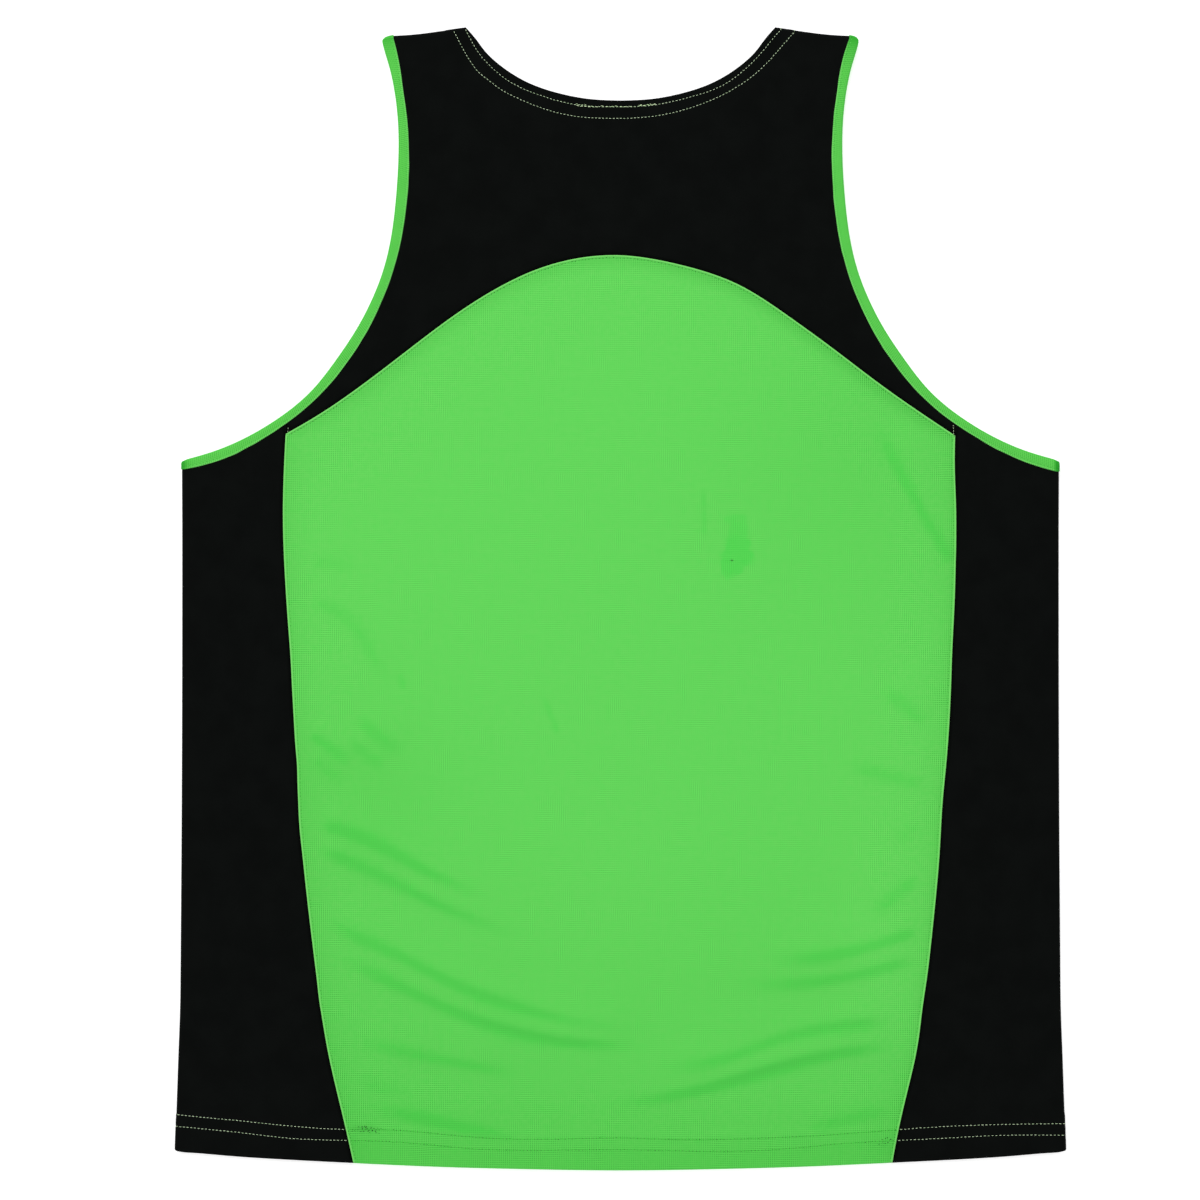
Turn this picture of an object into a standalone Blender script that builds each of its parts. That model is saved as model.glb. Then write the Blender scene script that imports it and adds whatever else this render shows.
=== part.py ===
"""Athletic singlet in light knit, laid flat with its back up.

Every piece is cut as a flat pattern and then given its wall. The two side
pieces fold round the side lines, the yoke folds over the shoulder line, and
each armhole binding runs once round its armhole, over the shoulder and round
the underarm. Lengths are in millimetres up to the last step, which writes
metres. "drop" is measured down from the high shoulder point, "half" outwards
from the centre line, x is across and y points to the neck.
"""

import math

import bmesh
import bpy
import numpy as np
from mathutils import Vector
from mathutils.geometry import delaunay_2d_cdt

MM = 0.001

BODY_LENGTH = 754.4  # high shoulder point to the middle of the hem
HALF_CHEST = 289.5  # centre line to the side fold, below the armhole
HALF_HEM = 294.1  # centre line to the side fold, at the hem
WALL = 1.0  # one layer of the knit
TURNED_WALL = 1.6  # the knit turned up at the hem and round the neck
BINDING_WALL = 1.8  # the folded strip round the armholes
LAYER_GAP = 1.0  # between the front's top face and the back's underside
SEAM_GAP = 0.3  # between the edges of two pieces that are sewn together
HEM_DEPTH = 24.0
NECK_DEPTH = 12.5
TURN_RAMP = 1.6  # width of the step at the end of a turned-up edge
SHOULDER_WRAP = 18.0  # the yoke's reach on the front, past the shoulder fold
ARC = math.pi * LAYER_GAP  # cloth that goes round a fold
FRONT_SCOOP = 4.0  # how much deeper the front armholes are cut, at mid height
EDGE_REACH = 15.0  # a thick edge holds the back layer up this far in
EDGE_EASE = 34.0  # and lets it down again over this much more
SAG_EASE = 34.0  # the back sinks to the table over this, in the front's neck
SAG_CLEAR = 0.1

BACK_LATTICE = 23.0
YOKE_LATTICE = 25.0
FRONT_LATTICE = 46.0
EDGE_STEP = 13.0
FOLD_LINES = 5  # lines of points round a fold, its two ends included

TOP = BODY_LENGTH / 2


def table(columns, rows):
    """The rows as an array whose columns go by name."""
    return np.rec.fromrecords([tuple(map(float, row)) for row in rows], names=columns)


SHOULDER = table("half, drop", [
    (96, -1.2), (102, 0.1), (110, 1.3), (120, 2.8), (130, 4.1), (140, 5.1), (150, 5.6), (158, 6.0),
])

BACK_NECK = table("half, drop", [
    (102.2, 0), (95, 8.3), (90, 15), (80, 24.5), (60, 36.6), (40, 43.3), (20, 47), (0, 48),
])

FRONT_NECK = table("half, drop", [
    (102.2, 0), (99.5, 10), (97, 24), (92, 46), (84, 72), (70, 100), (46, 126), (22, 138.5), (0, 142),
])

# The outer edge of the binding, from the shoulder to the underarm fold, and the
# width of the band there on the wearer's left and right.
ARMHOLE = table("drop, half, band_left, band_right", [
    (6.0, 158.2, 8.0, 7.8),
    (16, 155.6, 7.8, 7.8),
    (26, 152.6, 7.0, 7.0),
    (40, 149.5, 5.9, 6.2),
    (60, 147.0, 6.2, 6.4),
    (80, 146.4, 6.9, 6.9),
    (110, 147.9, 7.5, 7.5),
    (140, 151.6, 7.0, 7.0),
    (160, 156.4, 6.5, 6.7),
    (180, 164.1, 6.6, 6.9),
    (200, 174.6, 7.0, 7.3),
    (220, 188.0, 7.0, 7.4),
    (240, 204.0, 6.0, 6.3),
    (258, 225.7, 5.9, 6.0),
    (270, 245.6, 6.4, 6.3),
    (280, 268.7, 7.0, 7.2),
    (286, HALF_CHEST, 6.2, 7.8),
])

# Side fold, from the underarm to the hem.
SIDE_FOLD = table("drop, half", [
    (270, HALF_CHEST), (360, HALF_CHEST - 0.1), (450, HALF_CHEST), (540, 289.9), (620, 290.5), (650, 290.9), (680, 292.0), (705, 292.8), (742, HALF_HEM), (756, HALF_HEM + 0.4),
])

# Seams between the middle panel and the side pieces.
PANEL_SIDE = table("drop, left, right", [
    (268.5, 220.9, 221.0),
    (320, 222.8, 221.4),
    (380, 220.4, 220.4),
    (460, 215.4, 216.8),
    (540, 210.3, 211.1),
    (620, 201.4, 203.1),
    (680, 192.3, 194.4),
    (720, 182.9, 184.9),
    (756, 174.8, 178.0),
])

# Arched seam between the yoke and the middle panel.
ARCH = table("half, left, right", [
    (0, 150.2, 150.2),
    (20, 151.0, 152.4),
    (40, 154.7, 156.6),
    (60, 161.4, 162.3),
    (80, 171.1, 170.6),
    (110, 190.0, 189.7),
    (140, 212.5, 211.5),
    (170, 235.4, 234.3),
    (200, 256.0, 255.4),
    (221, 268.2, 269.4),
])

HEM = table("half, drop", [
    (0, 754.4), (60, 753.6), (120, 752.0), (180, 749.4), (230, 746.8), (270, 744.3), (294, 741.2),
])

NECK_POINT = 101.0  # half width where the shoulder fold starts, at the neck
SHOULDER_POINT = 158.0  # and where it ends, at the armhole
YOKE_TIP = 219.0  # half width where the yoke's point meets the side piece

# Soft ridges where the back lies in folds: a bowed line from end 0 to end 1,
# its sideways bow, its height and its width from crest to foot.
FOLDS = table("x0, drop0, x1, drop1, bow, height, width", [
    (-191, 527, -87, 573, 0.0, 1.2, 9),
    (-184, 546, -80, 596, -3.0, 1.6, 9),
    (-179, 598, -8, 660, -8.0, 1.5, 9),
    (-178, 615, 1, 671, -13.0, 1.8, 9),
    (76, 632, 185, 615, -5.0, 1.4, 9),
    (2, 690, 176, 657, 0.0, 1.5, 9),
    (-7, 712, 176, 674, 1.0, 2.2, 10),
])


# ---------------------------------------------------------------- curves


def cubic(at, value):
    """A natural cubic through the rows, as a function that takes arrays."""
    at = np.asarray(at, float)
    value = np.asarray(value, float).reshape(len(at), -1)
    h = np.diff(at)
    slope = np.diff(value, axis=0) / h[:, None]
    a = np.eye(len(at))
    b = np.zeros_like(value)
    for i in range(1, len(at) - 1):
        a[i, i - 1 : i + 2] = h[i - 1], 2 * (h[i - 1] + h[i]), h[i]
        b[i] = 6 * (slope[i] - slope[i - 1])
    bend = np.linalg.solve(a, b)

    def read(x):
        x = np.atleast_1d(np.asarray(x, float))
        i = np.clip(np.searchsorted(at, x) - 1, 0, len(h) - 1)
        u, v, w = x - at[i], at[i + 1] - x, h[i]
        u, v, w = u[:, None], v[:, None], w[:, None]
        found = (
            (bend[i] * v**3 + bend[i + 1] * u**3) / (6 * w)
            + (value[i] / w - bend[i] * w / 6) * v
            + (value[i + 1] / w - bend[i + 1] * w / 6) * u
        )
        return found[:, 0] if found.shape[1] == 1 else found

    return read


def mirrored(half, value):
    """A cubic in x that is the same on both sides of the centre line."""
    return cubic(np.r_[-half[:0:-1], half], np.r_[value[:0:-1], value])


def resample(path, step):
    """The same path with points about a step apart."""
    path = np.asarray(path, float)
    run = np.r_[0, np.cumsum(np.linalg.norm(np.diff(path, axis=0), axis=1))]
    count = max(2, int(round(run[-1] / step)) + 1)
    at = np.linspace(0, run[-1], count)
    return np.stack([np.interp(at, run, path[:, k]) for k in range(path.shape[1])], axis=1)


def swept(columns, fine=0.5):
    """A smooth path through the rows, closely sampled."""
    rows = np.stack(columns, axis=1)
    run = np.r_[0, np.cumsum(np.linalg.norm(np.diff(rows[:, :2], axis=0), axis=1))]
    return cubic(run, rows)(np.linspace(0, run[-1], int(run[-1] / fine) + 2))


def normals(path):
    """Unit normals to the left of the way the path runs."""
    along = np.gradient(path[:, :2], axis=0)
    along /= np.linalg.norm(along, axis=1)[:, None]
    return np.stack([-along[:, 1], along[:, 0]], axis=1)


def smooth(x):
    x = np.clip(x, 0, 1)
    return x * x * (3 - 2 * x)


def nearest(points, path):
    """How far each point lies from the path."""
    a, b = path[:-1], path[1:]
    ab = b - a
    size = np.maximum((ab**2).sum(axis=1), 1e-12)
    out = np.full(len(points), np.inf)
    for start in range(0, len(points), 4096):
        p = points[start : start + 4096, None]
        u = np.clip(((p - a) * ab).sum(axis=2) / size, 0, 1)
        out[start : start + 4096] = np.linalg.norm(p - a - u[..., None] * ab, axis=2).min(axis=1)
    return out


shoulder_y = cubic(SHOULDER.half, TOP - SHOULDER.drop)
hem_y = mirrored(HEM.half, TOP - HEM.drop)
fold_half = cubic(TOP - SIDE_FOLD.drop[::-1], SIDE_FOLD.half[::-1])
panel_half = {
    -1: cubic(TOP - PANEL_SIDE.drop[::-1], PANEL_SIDE.left[::-1]),
    1: cubic(TOP - PANEL_SIDE.drop[::-1], PANEL_SIDE.right[::-1]),
}
arch_y = cubic(
    np.r_[-ARCH.half[:0:-1], ARCH.half],
    TOP - np.r_[ARCH.left[:0:-1], ARCH.right],
)
front_neck_half = cubic(FRONT_NECK.drop, FRONT_NECK.half)


def neckline(rows):
    """From the wearer's right shoulder through the middle to the left one."""
    right = swept([rows.half, TOP - rows.drop])
    return np.concatenate([right, (right * (-1, 1))[-2::-1]])


BACK_NECKLINE = neckline(BACK_NECK)
FRONT_NECKLINE = neckline(FRONT_NECK)
ARM_EDGE = swept([ARMHOLE.half, TOP - ARMHOLE.drop])


# ------------------------------------------- heights of the two layers


def crest(fold, count):
    """Points along one fold's crest."""
    a = np.array([fold.x0, TOP - fold.drop0])
    b = np.array([fold.x1, TOP - fold.drop1])
    u = np.linspace(0, 1, count)[:, None]
    side = np.array([-(b - a)[1], (b - a)[0]]) / np.linalg.norm(b - a)
    return a + (b - a) * u + side * fold.bow * 4 * u * (1 - u)


def ridges(points):
    """Height of the soft folds, which run out towards their ends."""
    high = np.zeros(len(points))
    for fold in FOLDS:
        path = crest(fold, 24)
        away = nearest(points, path)
        chord = path[-1] - path[0]
        u = ((points - path[0]) @ chord) / (chord @ chord)
        ends = smooth(u / 0.22) * smooth((1 - u) / 0.22)
        high += fold.height * ends * np.exp(-((away / fold.width) ** 2) * 2)
    return high


def edge_lift(points):
    """How far thick edges below hold the back layer up."""
    half = np.stack([abs(points[:, 0]), points[:, 1]], axis=1)
    fall = lambda away: 1 - smooth((away - EDGE_REACH) / EDGE_EASE)
    arm = (BINDING_WALL - WALL + 0.2) * fall(nearest(half, ARM_EDGE[::6]))
    neck = (TURNED_WALL - WALL + 0.1) * fall(nearest(points, BACK_NECKLINE[::6]))
    hem = (TURNED_WALL - WALL + 0.1) * (
        1 - smooth((points[:, 1] - hem_y(points[:, 0]) - HEM_DEPTH - 3) / EDGE_EASE)
    )
    return np.maximum(np.maximum(arm, neck), hem)


def middle(points, wall):
    """Height of the back layer's mid surface over the table."""
    points = np.asarray(points, float)
    high = WALL + LAYER_GAP + WALL / 2 + edge_lift(points) + ridges(points)
    drop = TOP - points[:, 1]
    deepest = FRONT_NECK.drop[-1]
    inside = (drop < deepest) & (
        abs(points[:, 0]) < front_neck_half(np.clip(drop, 0, deepest))
    )
    into = np.where(inside, nearest(points, FRONT_NECKLINE[::6]), 0)
    sag = smooth((into - 2) / SAG_EASE)
    return high * (1 - sag) + (wall / 2 + SAG_CLEAR) * sag


def turned(away, depth):
    """Wall of a panel at a distance from its turned-up edge."""
    return TURNED_WALL + (WALL - TURNED_WALL) * smooth((away - depth) / TURN_RAMP)


def hem_wall(points):
    return turned(points[:, 1] - hem_y(points[:, 0]), HEM_DEPTH)


# ------------------------------------------------ laying and folding


class Fold:
    """The bend that joins the back layer to the front layer, at one line."""

    def __init__(self, edge, wall):
        mid = middle(edge, wall)
        self.radius = (mid - wall / 2) / 2
        self.centre = (mid + wall / 2) / 2
        self.reach = self.radius + wall / 2

    def round(self, turn, out):
        """Outward and upward offsets after so much of the turn, 0 to 1."""
        angle = math.pi * turn
        return (
            (self.radius + out) * np.sin(angle),
            self.centre + (self.radius + out) * np.cos(angle),
        )


def lay_back(points, out, wall):
    return np.c_[points, middle(points, wall) + out]


def lay_front(points, out, wall):
    return np.c_[points, wall / 2 - out]


def side_fold(y, wall):
    """The side fold at these heights, and where its bend starts."""
    edge = np.stack([fold_half(y), y], axis=1)
    fold = Fold(edge, wall)
    return fold, edge[:, 0] - fold.reach


def shoulder_fold(x, wall):
    """The shoulder fold at these places across, and where its bend starts.

    Between the shoulders there is no fold, and the pattern keeps the start that
    it has at the neck.
    """
    half = np.clip(abs(x), NECK_POINT, SHOULDER_POINT)
    edge = np.stack([np.where(x < 0, -half, half), shoulder_y(half)], axis=1)
    fold = Fold(edge, wall)
    return fold, edge[:, 1] - fold.reach


def wrap_side(side, pattern, out, wall):
    """A side pattern in the round: its first column is distance past the bend's start."""
    t, y = pattern[:, 0], pattern[:, 1]
    fold, start = side_fold(y, wall)
    turn = np.clip(t / ARC, 0, 1)
    along, up = fold.round(turn, out)
    back, front = t < 0, t > ARC
    half = np.where(back, start + t, np.where(front, start - (t - ARC), start + along))
    flat = np.stack([side * half, y], axis=1)
    up = np.where(back, middle(flat, wall) + out, np.where(front, wall / 2 - out, up))
    return np.c_[flat, up]


def wrap_shoulder(pattern, out, wall):
    """The yoke's pattern in the round: its second column is distance past the bend's start."""
    x, v = pattern[:, 0], pattern[:, 1]
    fold, start = shoulder_fold(x, wall)
    turn = np.clip(v / ARC, 0, 1)
    along, up = fold.round(turn, out)
    back, front = v < 0, v > ARC
    y = np.where(back, start + v, np.where(front, start - (v - ARC), start + along))
    flat = np.stack([x, y], axis=1)
    up = np.where(back, middle(flat, wall) + out, np.where(front, wall / 2 - out, up))
    return np.c_[flat, up]


# ---------------------------------------------------------- armholes


def stations(side, layer):
    """Outer and inner edges of a binding on one layer, underarm to shoulder.

    Both edges start where the side bend starts and end where the shoulder
    bend starts. Points are plan coordinates on the wearer's right.
    """
    band = ARMHOLE.band_left if side < 0 else ARMHOLE.band_right
    path = swept([ARMHOLE.half, TOP - ARMHOLE.drop, band])[::-1]
    if layer == "front":
        run = np.linspace(0, 1, len(path))[:, None]
        path[:, :2] += normals(path) * FRONT_SCOOP * np.sin(math.pi * run) ** 2
    across = normals(path)
    from_fold = path[0, 0] - path[:, 0]
    upright = (1 - smooth(from_fold / 16))[:, None]
    level = (1 - smooth((path[-1, 1] - path[:, 1]) / 16))[:, None]
    across = across * (1 - upright) + np.array([0, -1.0]) * upright
    across = across * (1 - level) + np.array([-1.0, 0.05]) * level
    across /= np.linalg.norm(across, axis=1)[:, None]
    inner = path[:, :2] + across * path[:, 2:]
    edges = []
    for edge in (path[:, :2], inner):
        _, start = side_fold(edge[:1, 1], np.full(1, BINDING_WALL))
        keep = edge[:, 0] < start
        _, top = shoulder_fold(edge[-1:, 0], np.full(1, BINDING_WALL))
        keep &= edge[:, 1] < top
        first, last = np.flatnonzero(keep)[[0, -1]]
        edges.append(edge[first : last + 1])
    return edges


def armhole(side, layer, step):
    """The two edges at matching sections."""
    outer, inner = stations(side, layer)
    count = int(round(np.linalg.norm(np.diff(outer, axis=0), axis=1).sum() / step)) + 1
    length = lambda path: np.linalg.norm(np.diff(path, axis=0), axis=1).sum()
    return tuple(resample(path, length(path) / (count - 1)) for path in (outer, inner))


# ----------------------------------------------------- pattern pieces


def inset(outline, amounts):
    """The closed outline pulled in along each of its edges by that edge's amount."""
    path = np.asarray(outline, float)
    if signed_area(path) < 0:
        path, amounts = path[::-1], np.roll(amounts[::-1], -1)
    along = np.roll(path, -1, axis=0) - path
    along /= np.linalg.norm(along, axis=1)[:, None]
    inward = np.stack([-along[:, 1], along[:, 0]], axis=1)
    before, after = np.roll(inward, 1, axis=0), inward
    d0, d1 = np.roll(amounts, 1), np.asarray(amounts, float)
    cross = before[:, 0] * after[:, 1] - before[:, 1] * after[:, 0]
    sharp = abs(cross) > 0.05
    safe = np.where(sharp, cross, 1)
    mitre = (after[:, ::-1] * (1, -1)) * (d0 / safe)[:, None] - (before[:, ::-1] * (1, -1)) * (d1 / safe)[:, None]
    blunt = (before + after) / 2 * np.maximum(d0, d1)[:, None]
    return path + np.where(sharp[:, None], mitre, blunt)


def signed_area(path):
    x, y = path[:, 0], path[:, 1]
    return 0.5 * (x * np.roll(y, -1) - y * np.roll(x, -1)).sum()


def inside(points, outline):
    x, y = points[:, 0], points[:, 1]
    found = np.zeros(len(points), bool)
    for (x0, y0), (x1, y1) in zip(outline, np.roll(outline, -1, axis=0)):
        if y0 == y1:
            continue
        found ^= ((y0 > y) != (y1 > y)) & (x < (x1 - x0) * (y - y0) / (y1 - y0) + x0)
    return found


class Outline:
    """A closed outline gathered from runs of points, each sewn or free."""

    def __init__(self):
        self.points, self.gaps = [], []

    def run(self, path, sewn):
        path = np.asarray(path, float)
        if self.points:
            while len(path) and np.linalg.norm(self.points[-1] - path[0]) < 0.4:
                path = path[1:]
        for point in path:
            self.points.append(point)
            self.gaps.append(SEAM_GAP / 2 if sewn else 0.0)
        return self

    def closed(self):
        points, gaps = np.array(self.points), np.array(self.gaps)
        # The run that a point starts sets the edge after it.
        if np.linalg.norm(points[0] - points[-1]) < 0.4:
            points, gaps = points[:-1], gaps[:-1]
        return inset(points, gaps)


def cut(outline, lattice, lines=(), extra=()):
    """Triangles over an outline: its edge, guide lines inside it, and an even lattice."""
    edge = np.asarray(outline, float)
    verts, edges = list(edge), [(i, (i + 1) % len(edge)) for i in range(len(edge))]
    ring = np.concatenate([edge, edge[:1]])
    for line in lines:
        keep = inside(line, edge) & (nearest(line, ring) > 0.35)
        run = []
        for point, kept in zip(line, keep):
            if kept:
                run.append(len(verts))
                verts.append(point)
        edges += [
            (a, b)
            for a, b in zip(run, run[1:])
            if np.linalg.norm(verts[a] - verts[b]) < 3.2 * lattice
        ]
    fixed = np.array(verts)
    x0, y0 = edge.min(axis=0)
    x1, y1 = edge.max(axis=0)
    rows = []
    for k, y in enumerate(np.arange(y0 + lattice / 2, y1, lattice * 0.866)):
        x = np.arange(x0 + lattice * (0.25 if k % 2 else 0.75), x1, lattice)
        rows.append(np.stack([x, np.full_like(x, y)], axis=1))
    spread = np.concatenate(rows)
    spread = spread[inside(spread, edge)]
    spread = spread[nearest(spread, ring) > lattice * 0.5]
    loose = np.concatenate([np.asarray(extra, float).reshape(-1, 2), spread])
    kept = list(fixed)
    count_extra = len(loose) - len(spread)
    if count_extra:
        ok = inside(loose, edge) & (nearest(loose, ring) > 4)
        ok[count_extra:] = True
    else:
        ok = np.ones(len(loose), bool)
    for k, point in enumerate(loose):
        near = 5.0 if k < count_extra else lattice * 0.5
        if ok[k] and (((np.array(kept) - point) ** 2).sum(axis=1) > near * near).all():
            kept.append(point)
    found = delaunay_2d_cdt([Vector(p) for p in kept], edges, [list(range(len(edge)))], 1, 1e-5)
    return np.array([tuple(v) for v in found[0]]), [list(f) for f in found[2]]


# ------------------------------------------------------------ solids


def knit(name, colour, rough):
    material = bpy.data.materials.new(name)
    material.use_nodes = True
    shader = material.node_tree.nodes["Principled BSDF"]
    shader.inputs["Base Color"].default_value = (*colour, 1)
    shader.inputs["Roughness"].default_value = rough
    shader.inputs["Metallic"].default_value = 0
    material.diffuse_color = (*colour, 1)
    return material


def place(name, points, faces, material, anchor, parent):
    """A named object whose mesh is measured from its own anchor on the garment."""
    mesh = bpy.data.meshes.new(name)
    build = bmesh.new()
    verts = [build.verts.new(Vector((p - anchor) * MM)) for p in points]
    for face in faces:
        build.faces.new([verts[i] for i in face])
    bmesh.ops.recalc_face_normals(build, faces=build.faces)
    build.to_mesh(mesh)
    build.free()
    mesh.shade_smooth()
    mesh.set_sharp_from_angle(angle=math.radians(50))
    mesh.materials.append(material)
    obj = bpy.data.objects.new(name, mesh)
    bpy.context.scene.collection.objects.link(obj)
    obj.parent = parent
    obj.location = anchor * MM
    return obj


def walled(name, pattern, faces, lay, wall, material, anchor, parent):
    """Both faces of a cut piece, a wall apart, and the rim between them."""
    top, bottom = lay(pattern, wall / 2, wall), lay(pattern, -wall / 2, wall)
    count = len(pattern)
    sides = {}
    for face in faces:
        for a, b in zip(face, face[1:] + face[:1]):
            sides[(a, b)] = True
    rim = [
        [a, a + count, b + count, b] for a, b in sides if (b, a) not in sides
    ]
    solid = faces + [[i + count for i in reversed(face)] for face in faces] + rim
    return place(name, np.concatenate([top, bottom]), solid, material, anchor, parent)


def banded(name, side, step, material, anchor, parent):
    """An armhole binding: one closed loop of rounded flat sections."""
    # Section: share of the band's width from its outer edge, share of its wall.
    section = [(0, -0.26), (0.1, -0.5), (0.9, -0.5), (1, -0.26), (1, 0.26), (0.9, 0.5), (0.1, 0.5), (0, 0.26)]
    rings = []

    def ring(outer, inner, lay):
        points = []
        for share, out in section:
            reach = np.linalg.norm(inner - outer)
            across = share * (1 - SEAM_GAP / 2 / reach)
            points.append(lay(outer + (inner - outer) * across, out * BINDING_WALL))
        rings.append(points)

    wall = np.full(1, BINDING_WALL)
    mirror = np.array([side, 1.0])

    def on(layer):
        return lambda flat, out: layer((flat * mirror)[None], out, wall)[0]

    def over_shoulder(turn):
        def lay(flat, out):
            fold, start = shoulder_fold(flat[:1], wall)
            along, up = fold.round(turn, out)
            return np.array([side * flat[0], start[0] + along[0], up[0]])

        return lay

    def under_arm(turn):
        def lay(flat, out):
            fold, start = side_fold(flat[1:], wall)
            along, up = fold.round(turn, out)
            return np.array([side * (start[0] + along[0]), flat[1], up[0]])

        return lay

    back, front = armhole(side, "back", step), armhole(side, "front", step)
    turns = np.linspace(0, 1, FOLD_LINES)
    for outer, inner in zip(*back):
        ring(outer, inner, on(lay_back))
    for turn in turns[1:-1]:
        ring(*(a[-1] * (1 - turn) + b[-1] * turn for a, b in zip(back, front)), over_shoulder(turn))
    for outer, inner in zip(front[0][::-1], front[1][::-1]):
        ring(outer, inner, on(lay_front))
    for turn in turns[1:-1][::-1]:
        bulge = np.array([0, -0.5 * math.sin(math.pi * turn)])
        ring(*(a[0] * (1 - turn) + b[0] * turn + bulge for a, b in zip(back, front)), under_arm(turn))
    size, count = len(section), len(rings)
    faces = [
        [i * size + j, i * size + (j + 1) % size, (i + 1) % count * size + (j + 1) % size, (i + 1) % count * size + j]
        for i in range(count)
        for j in range(size)
    ]
    return place(name, np.array(rings).reshape(-1, 3), faces, material, anchor, parent)


# ------------------------------------------------------------ pieces


def hem_run(x0, x1, step):
    x = np.linspace(x0, x1, max(2, int(abs(x1 - x0) / step) + 1))
    return np.stack([x, hem_y(x)], axis=1)


def seam_foot(side):
    """Where a side seam meets the hem, as half width."""
    half = float(panel_half[side](hem_y(180))[0])
    for _ in range(4):
        half = float(panel_half[side](hem_y(half))[0])
    return half


def seam_corner(side):
    drop = ARCH.left[-1] if side < 0 else ARCH.right[-1]
    half = float(panel_half[side](TOP - drop)[0])
    return np.array([half, float(arch_y(side * half)[0])])


def side_seam(side, step):
    """From the hem up to the corner with the yoke, as half width and height."""
    half = seam_foot(side)
    y = np.linspace(float(hem_y(half)[0]), seam_corner(side)[1], int(460 / step) + 1)
    return np.stack([panel_half[side](y), y], axis=1)


def arm_split(side, layer):
    """The inner armhole edge, cut where the yoke's tip meets it: below, above."""
    inner = armhole(side, layer, EDGE_STEP)[1]
    at = int(np.argmax(inner[:, 0] < YOKE_TIP))
    a, b = inner[at - 1], inner[at]
    meet = a + (b - a) * (a[0] - YOKE_TIP) / (a[0] - b[0])
    below, above = inner[:at], inner[at:]
    if np.linalg.norm(below[-1] - meet) < 3:
        below = below[:-1]
    if np.linalg.norm(above[0] - meet) < 3:
        above = above[1:]
    return np.concatenate([below, meet[None]]), np.concatenate([meet[None], above])


def fold_guides(span, fixed):
    """Lines of points along a fold, at even turns round it."""
    return [fixed(span, ARC * turn) for turn in np.linspace(0, 1, FOLD_LINES)]


def back_panel(material, parent):
    left, right = side_seam(-1, 20), side_seam(1, 20)
    x = np.linspace(right[-1, 0], -left[-1, 0], 35)
    arch = np.stack([x, arch_y(x)], axis=1)
    outline = (
        Outline()
        .run(hem_run(-left[0, 0], right[0, 0], 20), False)
        .run(right, True)
        .run(arch, True)
        .run((left * (-1, 1))[::-1], True)
        .closed()
    )
    x = np.linspace(-186, 188, 19)
    lines = [np.stack([x, hem_y(x) + HEM_DEPTH + up], axis=1) for up in (0, TURN_RAMP)]
    lines += [crest(fold, 2 + int(math.hypot(fold.x1 - fold.x0, fold.drop1 - fold.drop0) / 17)) for fold in FOLDS]
    feet = [
        crest(fold, 9) + side * fold.width * normals(crest(fold, 9))
        for fold in FOLDS
        for side in (-1, 1)
    ]
    pattern, faces = cut(outline, BACK_LATTICE, lines, np.concatenate(feet))
    lay = lambda flat, out, wall: lay_back(flat, out, wall)
    walled("back_panel", pattern, faces, lay, hem_wall(pattern), material, np.array([0, -90.0, 0]), parent)


def front_panel(material, parent):
    left, right = side_seam(-1, 30), side_seam(1, 30)

    def upper(side):
        above = arm_split(side, "front")[1]
        _, start = shoulder_fold(above[:, 0], np.full(len(above), WALL))
        return above[above[:, 1] < start - SHOULDER_WRAP - 2]

    def seam_at(x):
        _, start = shoulder_fold(np.atleast_1d(x), np.full(1, WALL))
        return float(start[0]) - SHOULDER_WRAP

    neck = FRONT_NECKLINE[: len(FRONT_NECKLINE) // 2 + 1]
    low = int(np.argmax([y < seam_at(x) for x, y in neck]))
    neck = resample(neck[low:], 15)
    arm_top = armhole(1, "front", EDGE_STEP)[1]
    seam_arm = float(np.interp(seam_at(148), arm_top[:, 1], arm_top[:, 0]))

    def strap(side):
        x = np.linspace(seam_arm, neck[0, 0], 5)
        return np.stack([x, [seam_at(v) for v in x]], axis=1) * (side, 1)

    outline = Outline().run(hem_run(-left[0, 0], right[0, 0], 36), False).run(right, True)
    outline.run(upper(1), True).run(strap(1), True).run(neck, False)
    outline.run((neck * (-1, 1))[-2::-1], False)
    outline.gaps[-1] = SEAM_GAP / 2
    outline.run(strap(-1)[::-1], True).run((upper(-1) * (-1, 1))[::-1], True)
    outline = outline.run((left * (-1, 1))[::-1], True).closed()
    x = np.linspace(-186, 188, 12)
    lines = [np.stack([x, hem_y(x) + HEM_DEPTH + up], axis=1) for up in (0, TURN_RAMP)]
    lines += [inner_line(neck_path(neck), NECK_DEPTH + up) for up in (0, TURN_RAMP)]
    pattern, faces = cut(outline, FRONT_LATTICE, lines)
    whole = neck_path(neck)
    wall = np.maximum(hem_wall(pattern), turned(nearest(pattern, whole), NECK_DEPTH))
    walled("front_panel", pattern, faces, lay_front, wall, material, np.array([0, -90.0, 0]), parent)


def neck_path(half_path):
    return np.concatenate([half_path, (half_path * (-1, 1))[-2::-1]])


def inner_line(path, away):
    """A line at a distance outside the neck opening."""
    fine = resample(path, 2)
    moved = fine - normals(fine) * away if signed_area(fine) > 0 else fine + normals(fine) * away
    keep = nearest(moved, fine) > away - 0.2
    return resample(moved[keep], 18)


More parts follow.
